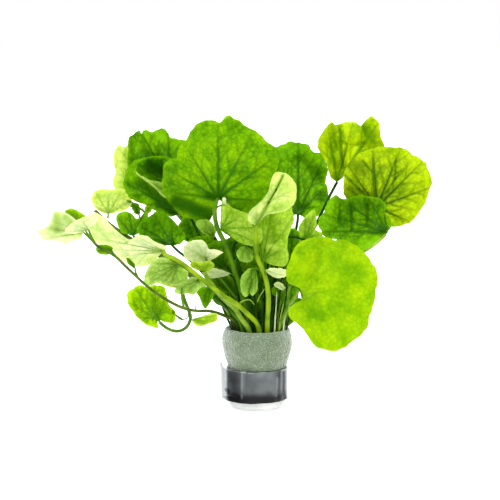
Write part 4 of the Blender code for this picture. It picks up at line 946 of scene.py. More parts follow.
TWIGS = {
    "spike_left": {
        "radius": 0.22, "slot": None, "tone": "deep", "taper": 0.6,
        "route": [
            (-24.7, 37.8, 17), (-24.7, 39.4, 17.3), (-24.9, 40.6, 17.5),
        ],
    },
    "tendril_left": {
        "radius": 0.28, "slot": None, "tone": "olive", "taper": 0.6,
        "route": [
            (-27.5, 37.4, 12), (-27.7, 35.4, 13), (-29.3, 34.4, 14.5), (-30.9, 34.4, 15), (-32.4, 36.2, 15.4),
        ],
    },
    "shoot_stem_a": {
        "radius": 0.3, "slot": None, "tone": "white", "taper": 0.6,
        "route": [
            (-42.5, 69.4, -14), (-43.7, 74.2, -15), (-45.7, 78.6, -15.5), (-46.5, 80.6, -16),
        ],
    },
    "shoot_stem_b": {
        "radius": 0.35, "slot": None, "tone": "grass", "taper": 0.6,
        "route": [
            (-46.9, 67.8, -13), (-46.9, 72.6, -14), (-47.3, 76.2, -15),
        ],
    },
    "young_stalk": {
        "radius": 0.4, "slot": None, "tone": "grass", "taper": 0.6,
        "route": [
            (-27.2, 37.4, 11.4), (-26.4, 36.2, 14), (-26.3, 34.4, 17.4),
        ],
    },
    "sheath_center": {
        "radius": 0.7, "slot": None, "tone": "light", "taper": 0.5,
        "route": [
            (-10.3, 39.8, 10.5), (-11.7, 41.2, 11.4), (-12.9, 42.4, 12),
        ],
    },
    "arch_center": {
        "radius": 0.35, "slot": None, "tone": "light", "taper": 0.6,
        "route": [
            (-6.9, 41, 11), (-5.3, 42, 11.6), (-2.9, 42.3, 11.8), (-1.3, 40.4, 11),
        ],
    },
    "line_center": {
        "radius": 0.3, "slot": None, "tone": "light", "taper": 0.6,
        "route": [
            (-0.1, 41.4, 9), (1.1, 43.8, 9.4), (2.9, 46.6, 9.8),
        ],
    },
    "right_a": {
        "radius": 0.34, "slot": None, "tone": "white", "taper": 0.5,
        "route": [
            (6.9, 29, 7), (7.2, 35, 7), (7.6, 40.6, 6.6), (7.8, 45.4, 6),
        ],
    },
    "right_b": {
        "radius": 0.36, "slot": None, "tone": "light", "taper": 0.5,
        "route": [
            (8.7, 29, 6.6), (9.3, 35, 7), (10.4, 40.6, 7), (10.9, 44.6, 6.8),
        ],
    },
    "right_c": {
        "radius": 0.3, "slot": None, "tone": "white", "taper": 0.5,
        "route": [
            (10.3, 29.4, 6.2), (10.9, 34.2, 6.4), (11.9, 39, 6.6),
        ],
    },
    "right_d": {
        "radius": 0.5, "slot": None, "tone": "deep", "taper": 0.6,
        "route": [
            (5.6, 28.6, 6), (5.7, 35, 6), (5.5, 40.6, 5.4), (5.9, 46.2, 4.6),
        ],
    },
    "right_e": {
        "radius": 0.45, "slot": None, "tone": "deep", "taper": 0.6,
        "route": [
            (11.6, 30.2, 5), (12.9, 35.8, 6), (13.6, 40.2, 6.6),
        ],
    },
    "right_f": {
        "radius": 0.4, "slot": None, "tone": "olive", "taper": 0.6,
        "route": [
            (7.9, 29, 5), (8.4, 35.8, 5), (9.5, 42.2, 4.6), (9.9, 47, 4),
        ],
    },
    "mid_a": {
        "radius": 0.5, "slot": None, "tone": "deep", "taper": 0.6,
        "route": [
            (-1.7, 28.6, 6.4), (-2.5, 35, 7), (-4.1, 41, 7), (-4.9, 45.4, 6.4),
        ],
    },
    "mid_b": {
        "radius": 0.55, "slot": None, "tone": "deep", "taper": 0.6,
        "route": [
            (1.9, 28.6, 6), (2.1, 35.8, 6), (1.9, 42.2, 6), (0.7, 47.8, 5.6),
        ],
    },
    "left_a": {
        "radius": 0.55, "slot": None, "tone": "deep", "taper": 0.6,
        "route": [
            (-5.7, 29.4, 5.4), (-9.3, 35, 6), (-12.9, 40.2, 6.6), (-16.5, 44.6, 7),
        ],
    },
    "left_b": {
        "radius": 0.5, "slot": None, "tone": "deep", "taper": 0.6,
        "route": [
            (-4.1, 28.6, 6), (-6.9, 34.2, 7), (-9.7, 38.6, 7.4), (-13.3, 43, 7.6),
        ],
    },
    "stem_tip_upper": {
        "radius": 0.78, "slot": None, "tone": "olive", "taper": 0.9,
        "route": [
            (-63.9, 76.9, -11.2), (-64.4, 77.4, -11), (-64.9, 78, -10.8),
        ],
    },
}
print("stems:", len(STEMS), "and thin ones:", len(TWIGS))

# %% [markdown]
# Living leaves are hard to paint with one colour. Light goes through them, so a blade is as much lit from
# behind as from the front, and its fine net of veins shows as a darker or paler drawing. Each blade
# therefore mixes two shaders: one that reflects and one that lets light through. The drawing on both comes
# from one node group, which every leaf material uses with its own colours.

# %% Node helpers


def linear(tone):
    """Turn a colour as it is read off a picture, 0 to 255, into the renderer's linear colour."""
    share = np.asarray(tone, dtype=float) / 255.0
    straight = np.where(share <= 0.04045, share / 12.92, ((share + 0.055) / 1.055) ** 2.4)
    return tuple(float(value) for value in straight) + (1.0,)


def add_node(tree, kind, **settings):
    """Add a node. A setting with a capital first letter is a socket: a value to set, or a socket to link."""
    node = tree.nodes.new("ShaderNode" + kind)
    for key, value in settings.items():
        if not key[0].isupper():
            setattr(node, key, value)
    for key, value in settings.items():
        if key[0].isupper():
            socket = node.inputs[key.replace("_", " ")]
            if isinstance(value, bpy.types.NodeSocket):
                tree.links.new(value, socket)
            else:
                socket.default_value = value
    return node


def add_math(tree, operation, first, second=0.0):
    """Add a math node and return its output."""
    node = tree.nodes.new("ShaderNodeMath")
    node.operation = operation
    for socket, value in zip(node.inputs, (first, second)):
        if isinstance(value, bpy.types.NodeSocket):
            tree.links.new(value, socket)
        else:
            socket.default_value = value
    return node.outputs[0]


def add_blend(tree, share, first, second, blend="MIX"):
    """Mix two colours and return the result."""
    node = tree.nodes.new("ShaderNodeMix")
    node.data_type = "RGBA"
    node.blend_type = blend
    for index, value in ((0, share), (6, first), (7, second)):
        if isinstance(value, bpy.types.NodeSocket):
            tree.links.new(value, node.inputs[index])
        else:
            node.inputs[index].default_value = value
    return node.outputs[2]


def add_range(tree, value, low, high, start=0.0, end=1.0):
    """Turn a value between low and high into one between start and end."""
    node = add_node(tree, "MapRange", interpolation_type="SMOOTHSTEP", Value=value)
    node.inputs["From Min"].default_value = low
    node.inputs["From Max"].default_value = high
    node.inputs["To Min"].default_value = start
    node.inputs["To Max"].default_value = end
    return node.outputs["Result"]


def new_group(name, inputs, outputs):
    """Start a node group with named sockets and return its tree, its input node and its output node."""
    tree = bpy.data.node_groups.new(name, "ShaderNodeTree")
    for socket, kind in inputs:
        tree.interface.new_socket(socket, in_out="INPUT", socket_type="NodeSocket" + kind)
    for socket, kind in outputs:
        tree.interface.new_socket(socket, in_out="OUTPUT", socket_type="NodeSocket" + kind)
    return tree, tree.nodes.new("NodeGroupInput"), tree.nodes.new("NodeGroupOutput")


print("a mid green is", [round(v, 3) for v in linear((84, 150, 4))])

# %% [markdown]
# The drawing on a blade has four parts, from large to small: soft blotches, where the tissue is thicker or
# thinner; the net of the smallest veins, whose meshes are one or two millimetres wide; a darker band along
# each vein; and a rim that is thinner and paler than the rest. The mesh tells the shader how near a vein or
# the rim is, by two attributes, and noise in the object's own coordinates gives the others. A third attribute
# carries the painted shade and painted light listed for each leaf, and where the painted shade is strongest
# the colour turns near black as a painted shadow.

# %% The drawing on a blade
BLOTCH_SCALE = 130.0
MOTTLE_SCALE = 700.0
NET_SCALE = 520.0
GLOW_TINT = (1.1, 1.0, 0.25, 1.0)
# Near-black green for painted shadow, where a leaf's painted shade is strongest.
PAINTED_SHADOW_INK = (0.020, 0.050, 0.001, 1.0)


def build_blade_pattern():
    """Build the node group that draws veins, net, blotches and rim, with painted shade, painted light and painted
    shadow.
    """
    tree, given, result = new_group(
        "blade_pattern",
        [("Base", "Color"), ("Light", "Color"), ("Dark", "Color"), ("Vein", "Float"), ("Edge", "Float"),
         ("Shade", "Float")],
        [("Color", "Color"), ("Glow", "Color"), ("Roughness", "Float"), ("Height", "Float")],
    )
    place = add_node(tree, "TexCoord").outputs["Object"]
    blotch = add_node(tree, "TexNoise", Vector=place, Scale=BLOTCH_SCALE, Detail=3.0, Roughness=0.55).outputs[0]
    mottle = add_node(tree, "TexNoise", Vector=place, Scale=MOTTLE_SCALE, Detail=2.0).outputs[0]
    bent = add_node(tree, "VectorMath", operation="SCALE", Scale=0.0006)
    tree.links.new(add_node(tree, "TexNoise", Vector=place, Scale=900.0).outputs["Color"], bent.inputs[0])
    moved = add_node(tree, "VectorMath", operation="ADD")
    tree.links.new(place, moved.inputs[0])
    tree.links.new(bent.outputs[0], moved.inputs[1])
    net = add_node(tree, "TexVoronoi", feature="DISTANCE_TO_EDGE", Vector=moved.outputs[0], Scale=NET_SCALE)
    meshes = add_range(tree, net.outputs["Distance"], 0.0, 0.16, 1.0, 0.0)
    near_vein = add_range(tree, given.outputs["Vein"], 0.04, 0.9)
    open_field = add_range(tree, net.outputs["Distance"], 0.12, 0.42)
    beside = add_math(tree, "SUBTRACT", 1.0, near_vein)
    lighter = add_math(tree, "MULTIPLY", add_range(tree, blotch, 0.40, 0.62), beside)
    color = add_blend(tree, add_math(tree, "MULTIPLY", lighter, 0.8), given.outputs["Base"], given.outputs["Light"])
    color = add_blend(tree, add_range(tree, blotch, 0.47, 0.28, 0.0, 0.6), color, given.outputs["Dark"])
    color = add_blend(tree, add_math(tree, "MULTIPLY", open_field, 0.35), color, given.outputs["Light"])
    color = add_blend(tree, add_math(tree, "MULTIPLY", meshes, 0.38), color, given.outputs["Dark"])
    color = add_blend(tree, add_range(tree, mottle, 0.35, 0.7, 0.0, 0.22), color, given.outputs["Light"])
    # Painted light and painted shade: the shade attribute lightens the blade below zero and darkens it above zero.
    color = add_blend(tree, add_range(tree, given.outputs["Shade"], 0.0, -1.0, 0.0, 0.9), color, given.outputs["Light"])
    color = add_blend(tree, add_range(tree, given.outputs["Shade"], 0.0, 1.0, 0.0, 0.9), color, given.outputs["Dark"])
    color = add_blend(tree, add_math(tree, "MULTIPLY", near_vein, 0.8), color, given.outputs["Dark"])
    # Painted shadow: from about one upwards, the shade attribute turns the colour near black.
    color = add_blend(tree, add_range(tree, given.outputs["Shade"], 0.9, 2.0), color, PAINTED_SHADOW_INK)
    color = add_blend(tree, add_math(tree, "MULTIPLY", given.outputs["Edge"], 0.45), color, given.outputs["Light"])
    tree.links.new(color, result.inputs["Color"])
    through = add_node(tree, "Gamma", Color=color, Gamma=0.72)
    tree.links.new(add_blend(tree, 1.0, through.outputs[0], GLOW_TINT, "MULTIPLY"), result.inputs["Glow"])
    tree.links.new(add_range(tree, mottle, 0.3, 0.7, 0.42, 0.62), result.inputs["Roughness"])
    height = add_math(tree, "SUBTRACT", mottle, add_math(tree, "MULTIPLY", meshes, 0.6))
    tree.links.new(height, result.inputs["Height"])
    return tree


blade_pattern = build_blade_pattern()
print("blade pattern:", len(blade_pattern.nodes), "nodes")

# %% [markdown]
# A leaf is one material on its upper side and one on its underside, which is paler and duller. The share of
# light that goes through is about a half: less and the bunch looks like painted tin, more and it looks like
# tissue paper. Nothing here shines much, so the specular level is low.

# %% Leaf materials
GLOW_SHARE = 0.5
SHEEN_LEVEL = 0.05


def blade_material(name, base, light, dark):
    """Return the material of one side of a blade."""
    made = bpy.data.materials.new(name)
    made.use_nodes = True
    tree = made.node_tree
    surface = tree.nodes["Principled BSDF"]
    drawing = tree.nodes.new("ShaderNodeGroup")
    drawing.node_tree = blade_pattern
    for socket, tone in (("Base", base), ("Light", light), ("Dark", dark)):
        drawing.inputs[socket].default_value = linear(tone)
    for socket, layer in (("Vein", "vein"), ("Edge", "edge"), ("Shade", "shade")):
        tree.links.new(add_node(tree, "Attribute", attribute_name=layer).outputs["Fac"], drawing.inputs[socket])
    bump = add_node(tree, "Bump", Strength=0.35, Distance=0.0003, Height=drawing.outputs["Height"])
    tree.links.new(drawing.outputs["Color"], surface.inputs["Base Color"])
    tree.links.new(drawing.outputs["Roughness"], surface.inputs["Roughness"])
    tree.links.new(bump.outputs["Normal"], surface.inputs["Normal"])
    surface.inputs["Specular IOR Level"].default_value = SHEEN_LEVEL
    through = add_node(tree, "BsdfTranslucent", Color=drawing.outputs["Glow"])
    both = tree.nodes.new("ShaderNodeMixShader")
    both.inputs[0].default_value = GLOW_SHARE
    tree.links.new(surface.outputs[0], both.inputs[1])
    tree.links.new(through.outputs[0], both.inputs[2])
    tree.links.new(both.outputs[0], tree.nodes["Material Output"].inputs["Surface"])
    return made


def juicy_material(name, base, light, scale):
    """Return the material of veins and stems: mottled, smooth and a little glossy."""
    made = bpy.data.materials.new(name)
    made.use_nodes = True
    tree = made.node_tree
    surface = tree.nodes["Principled BSDF"]
    place = add_node(tree, "TexCoord").outputs["Object"]
    streak = add_node(tree, "TexNoise", Vector=place, Scale=scale, Detail=3.0).outputs[0]
    color = add_blend(tree, add_range(tree, streak, 0.35, 0.65), linear(base), linear(light))
    tree.links.new(color, surface.inputs["Base Color"])
    surface.inputs["Roughness"].default_value = 0.38
    surface.inputs["Specular IOR Level"].default_value = 0.16
    through = add_node(tree, "BsdfTranslucent", Color=color)
    both = tree.nodes.new("ShaderNodeMixShader")
    both.inputs[0].default_value = 0.35
    tree.links.new(surface.outputs[0], both.inputs[1])
    tree.links.new(through.outputs[0], both.inputs[2])
    tree.links.new(both.outputs[0], tree.nodes["Material Output"].inputs["Surface"])
    return made


# Each look: the upper side's tone, light and dark; the underside's; and the veins' dark and light
LOOKS = {
    "deep": (((88, 156, 1), (132, 196, 4), (30, 84, 0)), ((96, 162, 2), (140, 198, 8), (38, 96, 0)),
             ((44, 104, 0), (68, 130, 2))),
    "crown": (((92, 156, 1), (134, 192, 3), (34, 92, 0)), ((112, 176, 1), (152, 204, 4), (40, 102, 0)),
              ((54, 116, 0), (76, 138, 2))),
    "fresh": (((142, 194, 6), (182, 226, 16), (70, 132, 0)), ((164, 210, 32), (204, 236, 92), (86, 148, 5)),
              ((80, 138, 4), (122, 176, 22))),
    "sun": (((136, 188, 1), (172, 208, 6), (92, 154, 0)), ((154, 200, 20), (192, 224, 70), (104, 160, 2)),
            ((150, 196, 14), (170, 212, 44))),
    "olive": (((162, 202, 6), (200, 228, 20), (84, 138, 0)), ((146, 186, 2), (188, 216, 18), (74, 114, 0)),
              ((54, 92, 0), (80, 118, 2))),
    "lime": (((168, 208, 22), (208, 236, 84), (108, 164, 2)), ((182, 212, 80), (216, 234, 140), (126, 172, 16)),
             ((108, 156, 12), (162, 200, 66))),
    "muted": (((140, 190, 52), (176, 218, 86), (80, 128, 10)), ((152, 202, 58), (186, 228, 98), (88, 140, 14)),
              ((76, 124, 10), (114, 162, 34))),
    "pale": (((166, 210, 84), (204, 236, 132), (106, 152, 20)), ((170, 214, 88), (210, 240, 142), (104, 152, 22)),
             ((76, 118, 8), (110, 152, 36))),
    "mint": (((190, 222, 108), (226, 240, 168), (136, 180, 48)), ((234, 250, 194), (250, 255, 230), (176, 208, 106)),
             ((114, 148, 36), (152, 182, 76))),
    "rolled": (((66, 130, 0), (96, 160, 2), (26, 76, 0)), ((180, 222, 84), (214, 240, 130), (120, 168, 20)),
               ((40, 96, 0), (60, 120, 2))),
}
blade_looks = {}
for look, (upper, under, veins) in LOOKS.items():
    blade_looks[look] = {
        "upper": blade_material(look + "_upper", *upper),
        "under": blade_material(look + "_under", *under),
        "vein": juicy_material(look + "_veins", *veins, scale=240.0),
    }
print("looks:", ", ".join(blade_looks))

# %% [markdown]
# Stems come next, because the leaves join them. On the real bunch they are juicy, ribbed tubes, thickest
# where they enter the foam. A curve with a round bevel gives the tube, and its thickness is told point by
# point. The routes run from the cut ends down in the foam up to the leaves. A stalk ends in its leaf, so the
# leaf's joint is added to a route that ends near one.

# %% Stem paths
CUT_END_HEIGHT = 5.0
MOUTH_HEIGHT = 25.0
STEM_TAPER = 0.75
STEM_STEP = 1.6
JOIN_REACH = 3.2


def stem_path(slot, route, joints):
    """Return the points of a stem, evenly spaced, from its cut end to its far end."""
    points = spots(route)
    if slot:
        points = np.vstack([[(*slot, CUT_END_HEIGHT), (*slot, MOUTH_HEIGHT)], points])
    gaps = np.linalg.norm(joints - points[-1], axis=1)
    if 0.05 < gaps.min() < JOIN_REACH:
        points = np.vstack([points, joints[gaps.argmin()]])
    length = np.linalg.norm(np.diff(points, axis=0), axis=1).sum()
    return smooth_path(points, np.linspace(0.0, 1.0, max(6, round(length / STEM_STEP))))


leaf_joints = spots([leaf["joint"] for leaf in LEAVES.values()])
stem_paths = {name: stem_path(stem["slot"], stem["route"], leaf_joints) for name, stem in STEMS.items()}
print("stems:", len(stem_paths), "longest", max(len(path) for path in stem_paths.values()), "points")

# %% [markdown]
# Tubes serve twice: as stems and as veins. A curve object may hold many splines, so the whole net of veins
# of a leaf is one curve. It is turned into a mesh at once, because the leaf takes it in as its own.

# %% Tubes


def tube_mesh(name, paths, radii, sides):
    """Return a mesh of round tubes through the given paths, each with a radius at every point, in mm."""
    curve = bpy.data.curves.new(name, "CURVE")
    curve.dimensions = "3D"
    curve.bevel_depth = MM
    curve.bevel_resolution = sides
    curve.use_fill_caps = True
    for path, radius in zip(paths, radii):
        spline = curve.splines.new("POLY")
        spline.points.add(len(path) - 1)
        flat = np.column_stack([np.asarray(path) * MM, np.ones(len(path))])
        spline.points.foreach_set("co", flat.ravel())
        spline.points.foreach_set("radius", np.asarray(radius, dtype=float))
    holder = bpy.data.objects.new(name, curve)
    bpy.context.scene.collection.objects.link(holder)
    shaped = holder.evaluated_get(bpy.context.evaluated_depsgraph_get())
    mesh = bpy.data.meshes.new_from_object(shaped)
    bpy.data.objects.remove(holder, do_unlink=True)
    return mesh


def place_piece(name, mesh, materials, replaced=None):
    """Put a finished mesh into the scene as a piece that rides on the bunch."""
    mesh.name = name
    for look in materials:
        mesh.materials.append(look)
    piece = bpy.data.objects.new(name, mesh)
    bpy.context.scene.collection.objects.link(piece)
    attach(piece, "root")
    if replaced:
        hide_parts(replaced)
    return piece


def shade(mesh, angle):
    """Smooth a mesh, but keep the edges that are sharper than the angle, in degrees."""
    mesh.polygons.foreach_set("use_smooth", [True] * len(mesh.polygons))
    mesh.set_sharp_from_angle(angle=math.radians(angle))


STEM_TONES = {
    "bright": ((112, 152, 6), (160, 192, 26)),
    "light": ((124, 164, 26), (172, 204, 76)),
    "grass": ((66, 118, 3), (106, 154, 10)),
    # Painted shade: the near-black deep tone serves the stalks inside and behind the bunch, standing for the shade
    # there.
    "deep": ((20, 62, 1), (46, 98, 4)),
    "olive": ((70, 96, 20), (108, 134, 42)),
    # Partly painted highlight: the near-white tone is for thin pale stems, and at the lower right they also stand for
    # bright streaks of light on the stems.
    "white": ((206, 226, 170), (232, 244, 208)),
}
FILLERS = 34
# Painted shade: most thin stalks in the middle take the near-black deep tone for the shade there.
FILLER_TONES = ("deep", "deep", "grass", "deep", "olive")


def filler_path(index):
    """Return one of the many thin stalks that fill the middle of the bunch, and its thickness."""
    around = 2.4 * index
    reach = 8.4 * math.sqrt((index + 0.5) / FILLERS)
    foot = np.array((reach * math.cos(around) - 0.2, reach * math.sin(around) * 0.8 + 1.6))
    rise = 40.0 + 16.0 * math.sin(index * 1.7)
    away = foot * np.array((1.0 + 0.05 * rise * 0.5, 1.5)) + np.array((1.5 * math.sin(index * 3.1), 0.0))
    middle = (foot * 0.55 + away * 0.45) + np.array((0.9 * math.cos(index * 2.2), 0.0))
    points = [(*foot, CUT_END_HEIGHT), (*(foot * 1.03), MOUTH_HEIGHT), (*middle, 12.0 + rise * 0.55), (*away, rise + 10.0)]
    return smooth_path(points, np.linspace(0.0, 1.0, 30)), 0.42 + 0.22 * math.sin(index * 5.3) ** 2


stem_looks = {tone: juicy_material("stem_" + tone, *pair, scale=160.0) for tone, pair in STEM_TONES.items()}
for name, path in stem_paths.items():
    share = np.linspace(0.0, 1.0, len(path))
    waver = np.array([noise.noise(Vector(point) * 0.35) for point in path])
    radius = STEMS[name]["radius"] * (1.0 - (1.0 - STEM_TAPER) * share) * (1.0 + 0.10 * waver)
    mesh = tube_mesh(name, [path], [radius], 4)
    shade(mesh, 60)
    place_piece(name, mesh, [stem_looks[STEMS[name]["tone"]]], name)
for name, twig in TWIGS.items():
    path = stem_path(twig["slot"], twig["route"], leaf_joints)
    radius = twig["radius"] * np.linspace(1.0, twig["taper"], len(path))
    mesh = tube_mesh(name, [path], [radius], 3)
    shade(mesh, 60)
    place_piece(name, mesh, [stem_looks[twig["tone"]]])
    stem_paths[name] = path
fillers = [filler_path(index) for index in range(FILLERS)]
for order, tone in enumerate(FILLER_TONES):
    part = fillers[order :: len(FILLER_TONES)]
    mesh = tube_mesh("stalks", [path for path, _ in part], [size * np.linspace(1.0, 0.6, 30) for _, size in part], 2)
    shade(mesh, 60)
    place_piece("stalks_inside_" + str(order + 1), mesh, [stem_looks[tone]])
print("stem pieces:", len(stem_paths), "and", FILLERS, "thin stalks")

# %% [markdown]
# A blade starts as a flat grid. One side of the grid becomes the rim and the opposite side shrinks into the
# joint or the heart, so the grid's lines run out to the rim as the veins of a round leaf do. The grid is much
# finer than the solid's, and the rim gets the shallow waves of a real cress leaf.

# %% Folds, and lines of painted shade and painted light
LINE = "a line from one place to another, with a width and an amount"


def seen(points):
    """Return the (across, rise) at which points in mm appear."""
    gaze = np.asarray(points, dtype=float) - EYE
    reach = EYE_DISTANCE / (gaze @ AHEAD)
    return np.column_stack([VIEW_ACROSS + gaze[:, 0] * reach, VIEW_RISE + (gaze @ ABOVE) * reach])


def along_lines(places, lines):
    """Add up the amounts of soft-edged lines (across, rise, across, rise, width, amount) at places."""
    total = np.zeros(len(places))
    for x0, y0, x1, y1, width, amount in lines:
        start = np.array((x0, y0))
        run = np.array((x1, y1)) - start
        share = np.clip((places[:, :2] - start) @ run / max(run @ run, 1e-6), 0.0, 1.0)
        gap = np.linalg.norm(places[:, :2] - start - share[:, None] * run, axis=1)
        total += amount * np.exp(-((gap / width) ** 2))
    return total


print("a fold or a shade is", LINE)

# %% Blade sheets
BLADE_GRIDS = {"large": (150, 46), "middle": (104, 32), "small": (72, 20), "tiny": (28, 8)}
RIPPLES = ((11.0, 0.010), (23.0, 0.006), (37.0, 0.004))
RUFFLES = ((5.0, 0.55), (9.0, 0.30))
WELD_DISTANCE = 0.02


def rim_points(joint, rim, lean, turn):
    """Give every rim point its place forward, from the blade's lean and turn and its own extra."""
    across, rise, forward = joint
    points = []
    for point in rim:
        extra = point[2] if len(point) > 2 else 0.0
        depth = forward + lean * (point[1] - rise) + turn * (point[0] - across) + extra
        points.append((point[0], point[1], depth))
    return points


def blade_sheet(leaf, seed):
    """Return a bmesh of the open blade, facing the front."""
    columns, rows = BLADE_GRIDS[leaf["grid"]]
    path = rim_points(leaf["joint"], leaf["rim"], leaf.get("lean", 0.0), leaf.get("turn", 0.0))
    if "heart" in leaf:
        path = [leaf["joint"]] + path + [leaf["joint"]]
    start = np.array(leaf.get("heart", leaf["joint"]))
    bm = bmesh.new()
    bmesh.ops.create_grid(bm, x_segments=columns, y_segments=rows, size=0.5)
    grid = np.array([vertex.co for vertex in bm.verts]) + 0.5
    q, s = grid[:, 0], grid[:, 1]
    outline = smooth_path(path, q)
    hold = bulge(np.clip(q, 0.0, 1.0)) ** 0.5
    ripple = sum(size * np.sin(math.tau * count * q + seed * count) for count, size in RIPPLES)
    outline[:, :2] = start[:2] + (outline[:, :2] - start[:2]) * (1.0 + (ripple * hold))[:, None]
    places = start + s[:, None] * (outline - start)
    spread = np.linalg.norm(outline[:, :2] - start[:2], axis=1) / 20.0
    ruffle = sum(size * np.sin(math.tau * count * q + 2.0 * seed + count) for count, size in RUFFLES)
    places[:, 2] += leaf.get("dish", 0.0) * bulge(s) + leaf.get("ruffle", 1.0) * ruffle * hold * spread * s**3
    if "roll" in leaf:
        roll_margin(places, outline, start, q, s, *leaf["roll"])
    places[:, 2] += along_lines(places, leaf.get("folds", ()))
    for vertex, point in zip(bm.verts, spots(places)):
        vertex.co = Vector(point) * MM
    bmesh.ops.remove_doubles(bm, verts=bm.verts, dist=WELD_DISTANCE * MM)
    bmesh.ops.recalc_face_normals(bm, faces=bm.faces)
    bm.normal_update()
    if sum(face.normal.y * face.calc_area() for face in bm.faces) > 0.0:
        bmesh.ops.reverse_faces(bm, faces=bm.faces)
        bm.normal_update()
    return bm


def roll_margin(places, outline, start, q, s, first, last, fold, back, ahead):
    """Roll a stretch of the margin over: it turns at `fold` and comes back by `back`, standing `ahead`."""
    held = ease(first, first + 0.12, q) * (1.0 - ease(last - 0.12, last, q))
    turned = np.clip((s - fold) / (1.0 - fold), 0.0, 1.0) * math.pi / 2
    share = np.where(s < fold, s / fold, 1.0 - back * (1.0 - np.cos(turned)))
    rolled = start + share[:, None] * (outline - start)
    rolled[:, 2] += ahead * np.sin(turned)
    places += held[:, None] * (rolled - places)


print("a large blade has", BLADE_GRIDS["large"][0] * BLADE_GRIDS["large"][1], "faces a side")

# %% [markdown]
# The veins of a round cress leaf leave the joint like fingers, fork, and fork again near the rim. They are
# laid over the finished sheet as seen from the front: a vein sets off from the joint in its direction, read
# off the picture, and walks over the blade until the blade ends. Its branches leave it left and right in
# turn. Each step is thrown onto the sheet along the line of sight.

# %% Veins
VEIN_STEP = 0.8
BRANCH_SHARES = (0.22, 0.36, 0.5, 0.63, 0.76)
TWIG_SHARES = (0.4, 0.68)
BRANCH_ANGLE = math.radians(40.0)
VEIN_RADIUS = 0.40


def on_sheet(tree, place):
    """Return where the sheet appears at (across, rise), or None beside it."""
    target = VIEW_CENTER + np.array((place[0] - VIEW_ACROSS, 0.0, 0.0)) + (place[1] - VIEW_RISE) * ABOVE
    hit = tree.ray_cast(Vector(EYE) * MM, Vector(target - EYE).normalized())
    return None if hit[0] is None else np.array(hit[0]) / MM


def walk(tree, start, heading, bend, longest):
    """Walk over the sheet from a place; return the places, up to the sheet's end."""
    places = [np.array(start, dtype=float)]
    length = 0.0
    missed = 0
    while length < longest and missed < 3:
        step = places[-1] + VEIN_STEP * np.array((math.cos(heading), math.sin(heading)))
        missed = missed + 1 if on_sheet(tree, step) is None else 0
        places.append(step)
        heading += bend * VEIN_STEP
        length += VEIN_STEP
    return places[: len(places) - missed]


def fork(tree, places, share, side, reach, bend):
    """Set off a branch from a share of a vein, to one side, for a reach in mm."""
    index = int(share * (len(places) - 1))
    if index < 1:
        return []
    way = places[index] - places[index - 1]
    heading = math.atan2(way[1], way[0]) + side * BRANCH_ANGLE
    return walk(tree, places[index], heading, -side * bend, reach)


def vein_net(tree, leaf, span):
    """Return the veins of a leaf as (places, thickness at the start, thickness at the end)."""
    net = []
    for direction in leaf["veins"]:
        main = walk(tree, leaf["joint"][:2], math.radians(direction), leaf.get("bend", 0.0), 3.0 * span)
        if len(main) < 5:
            continue
        length = VEIN_STEP * len(main)
        thick = 0.55 + 0.45 * min(1.0, length / span)
        net.append((main, thick, 0.22))
        for order, share in enumerate(BRANCH_SHARES):
            side = 1.0 if order % 2 else -1.0
            branch = fork(tree, main, share, side, 0.62 * length * (1.05 - share), 0.016)
            if len(branch) < 4:
                continue
            net.append((branch, 0.42 * thick, 0.16))
            for turn, part in enumerate(TWIG_SHARES):
                twig_side = side if turn else -side
                twig = fork(tree, branch, part, twig_side, 0.40 * VEIN_STEP * len(branch), 0.0)
                if len(twig) > 2:
                    net.append((twig, 0.24 * thick, 0.12))
    return net


print("branches leave a vein at", BRANCH_SHARES)

# %% [markdown]
# The last step makes the sheet a leaf. It swells between the veins towards its upper side, as the tissue does
# on the real one, and gets a little noise so that no two meshes are alike. Solidify gives it the thickness of
# a leaf, with another material for the far side, and the tubes of the veins join it. The two attributes for the
# drawing are measured last, on the finished mesh, with a third that holds the painted shade and painted light.

# %% Leaves
BLADE_THICKNESS = 0.28
QUILT_WIDTH = 1.7
EDGE_WIDTH = 0.9
LEAF_SPANS = {"large": 19.0, "middle": 11.0, "small": 7.0, "tiny": 4.0}
PETIOLE_RADIUS = 0.42


def nearest_tree(points):
    """Return a search tree over points in mm."""
    tree = kdtree.KDTree(len(points))
    for index, point in enumerate(points):
        tree.insert(point, index)
    tree.balance()
    return tree


def swell(bm, net_points, net_sizes, height, upper):
    """Move the sheet between its veins towards the upper side, and roughen it a little."""
    tree = nearest_tree(net_points)
    moves = []
    for vertex in bm.verts:
        point = vertex.co / MM
        _, index, gap = tree.find(point)
        wide = QUILT_WIDTH * (0.6 + net_sizes[index])
        rise = height * (1.0 - math.exp(-((gap / wide) ** 2)))
        rise += 0.30 * height * noise.noise(point * 0.9) + 0.9 * height * noise.noise(point * 0.16)
        moves.append(vertex.normal * (upper * rise * MM))
    for vertex, move in zip(bm.verts, moves):
        vertex.co += move


def petiole(joint):
    """Return a short stalk from the nearest stem to a joint, or None if a stem ends there."""
    best = min(stem_paths.values(), key=lambda path: np.linalg.norm(path - joint, axis=1).min())
    gaps = np.linalg.norm(best - joint, axis=1)
    index = int(gaps.argmin())
    if gaps[index] < 0.3:
        return None
    root = best[max(0, index - 2)]
    lift = (best[index] - root) * 0.6
    return smooth_path([root, (root + joint) / 2 + lift * 0.3, joint], np.linspace(0.0, 1.0, 7))


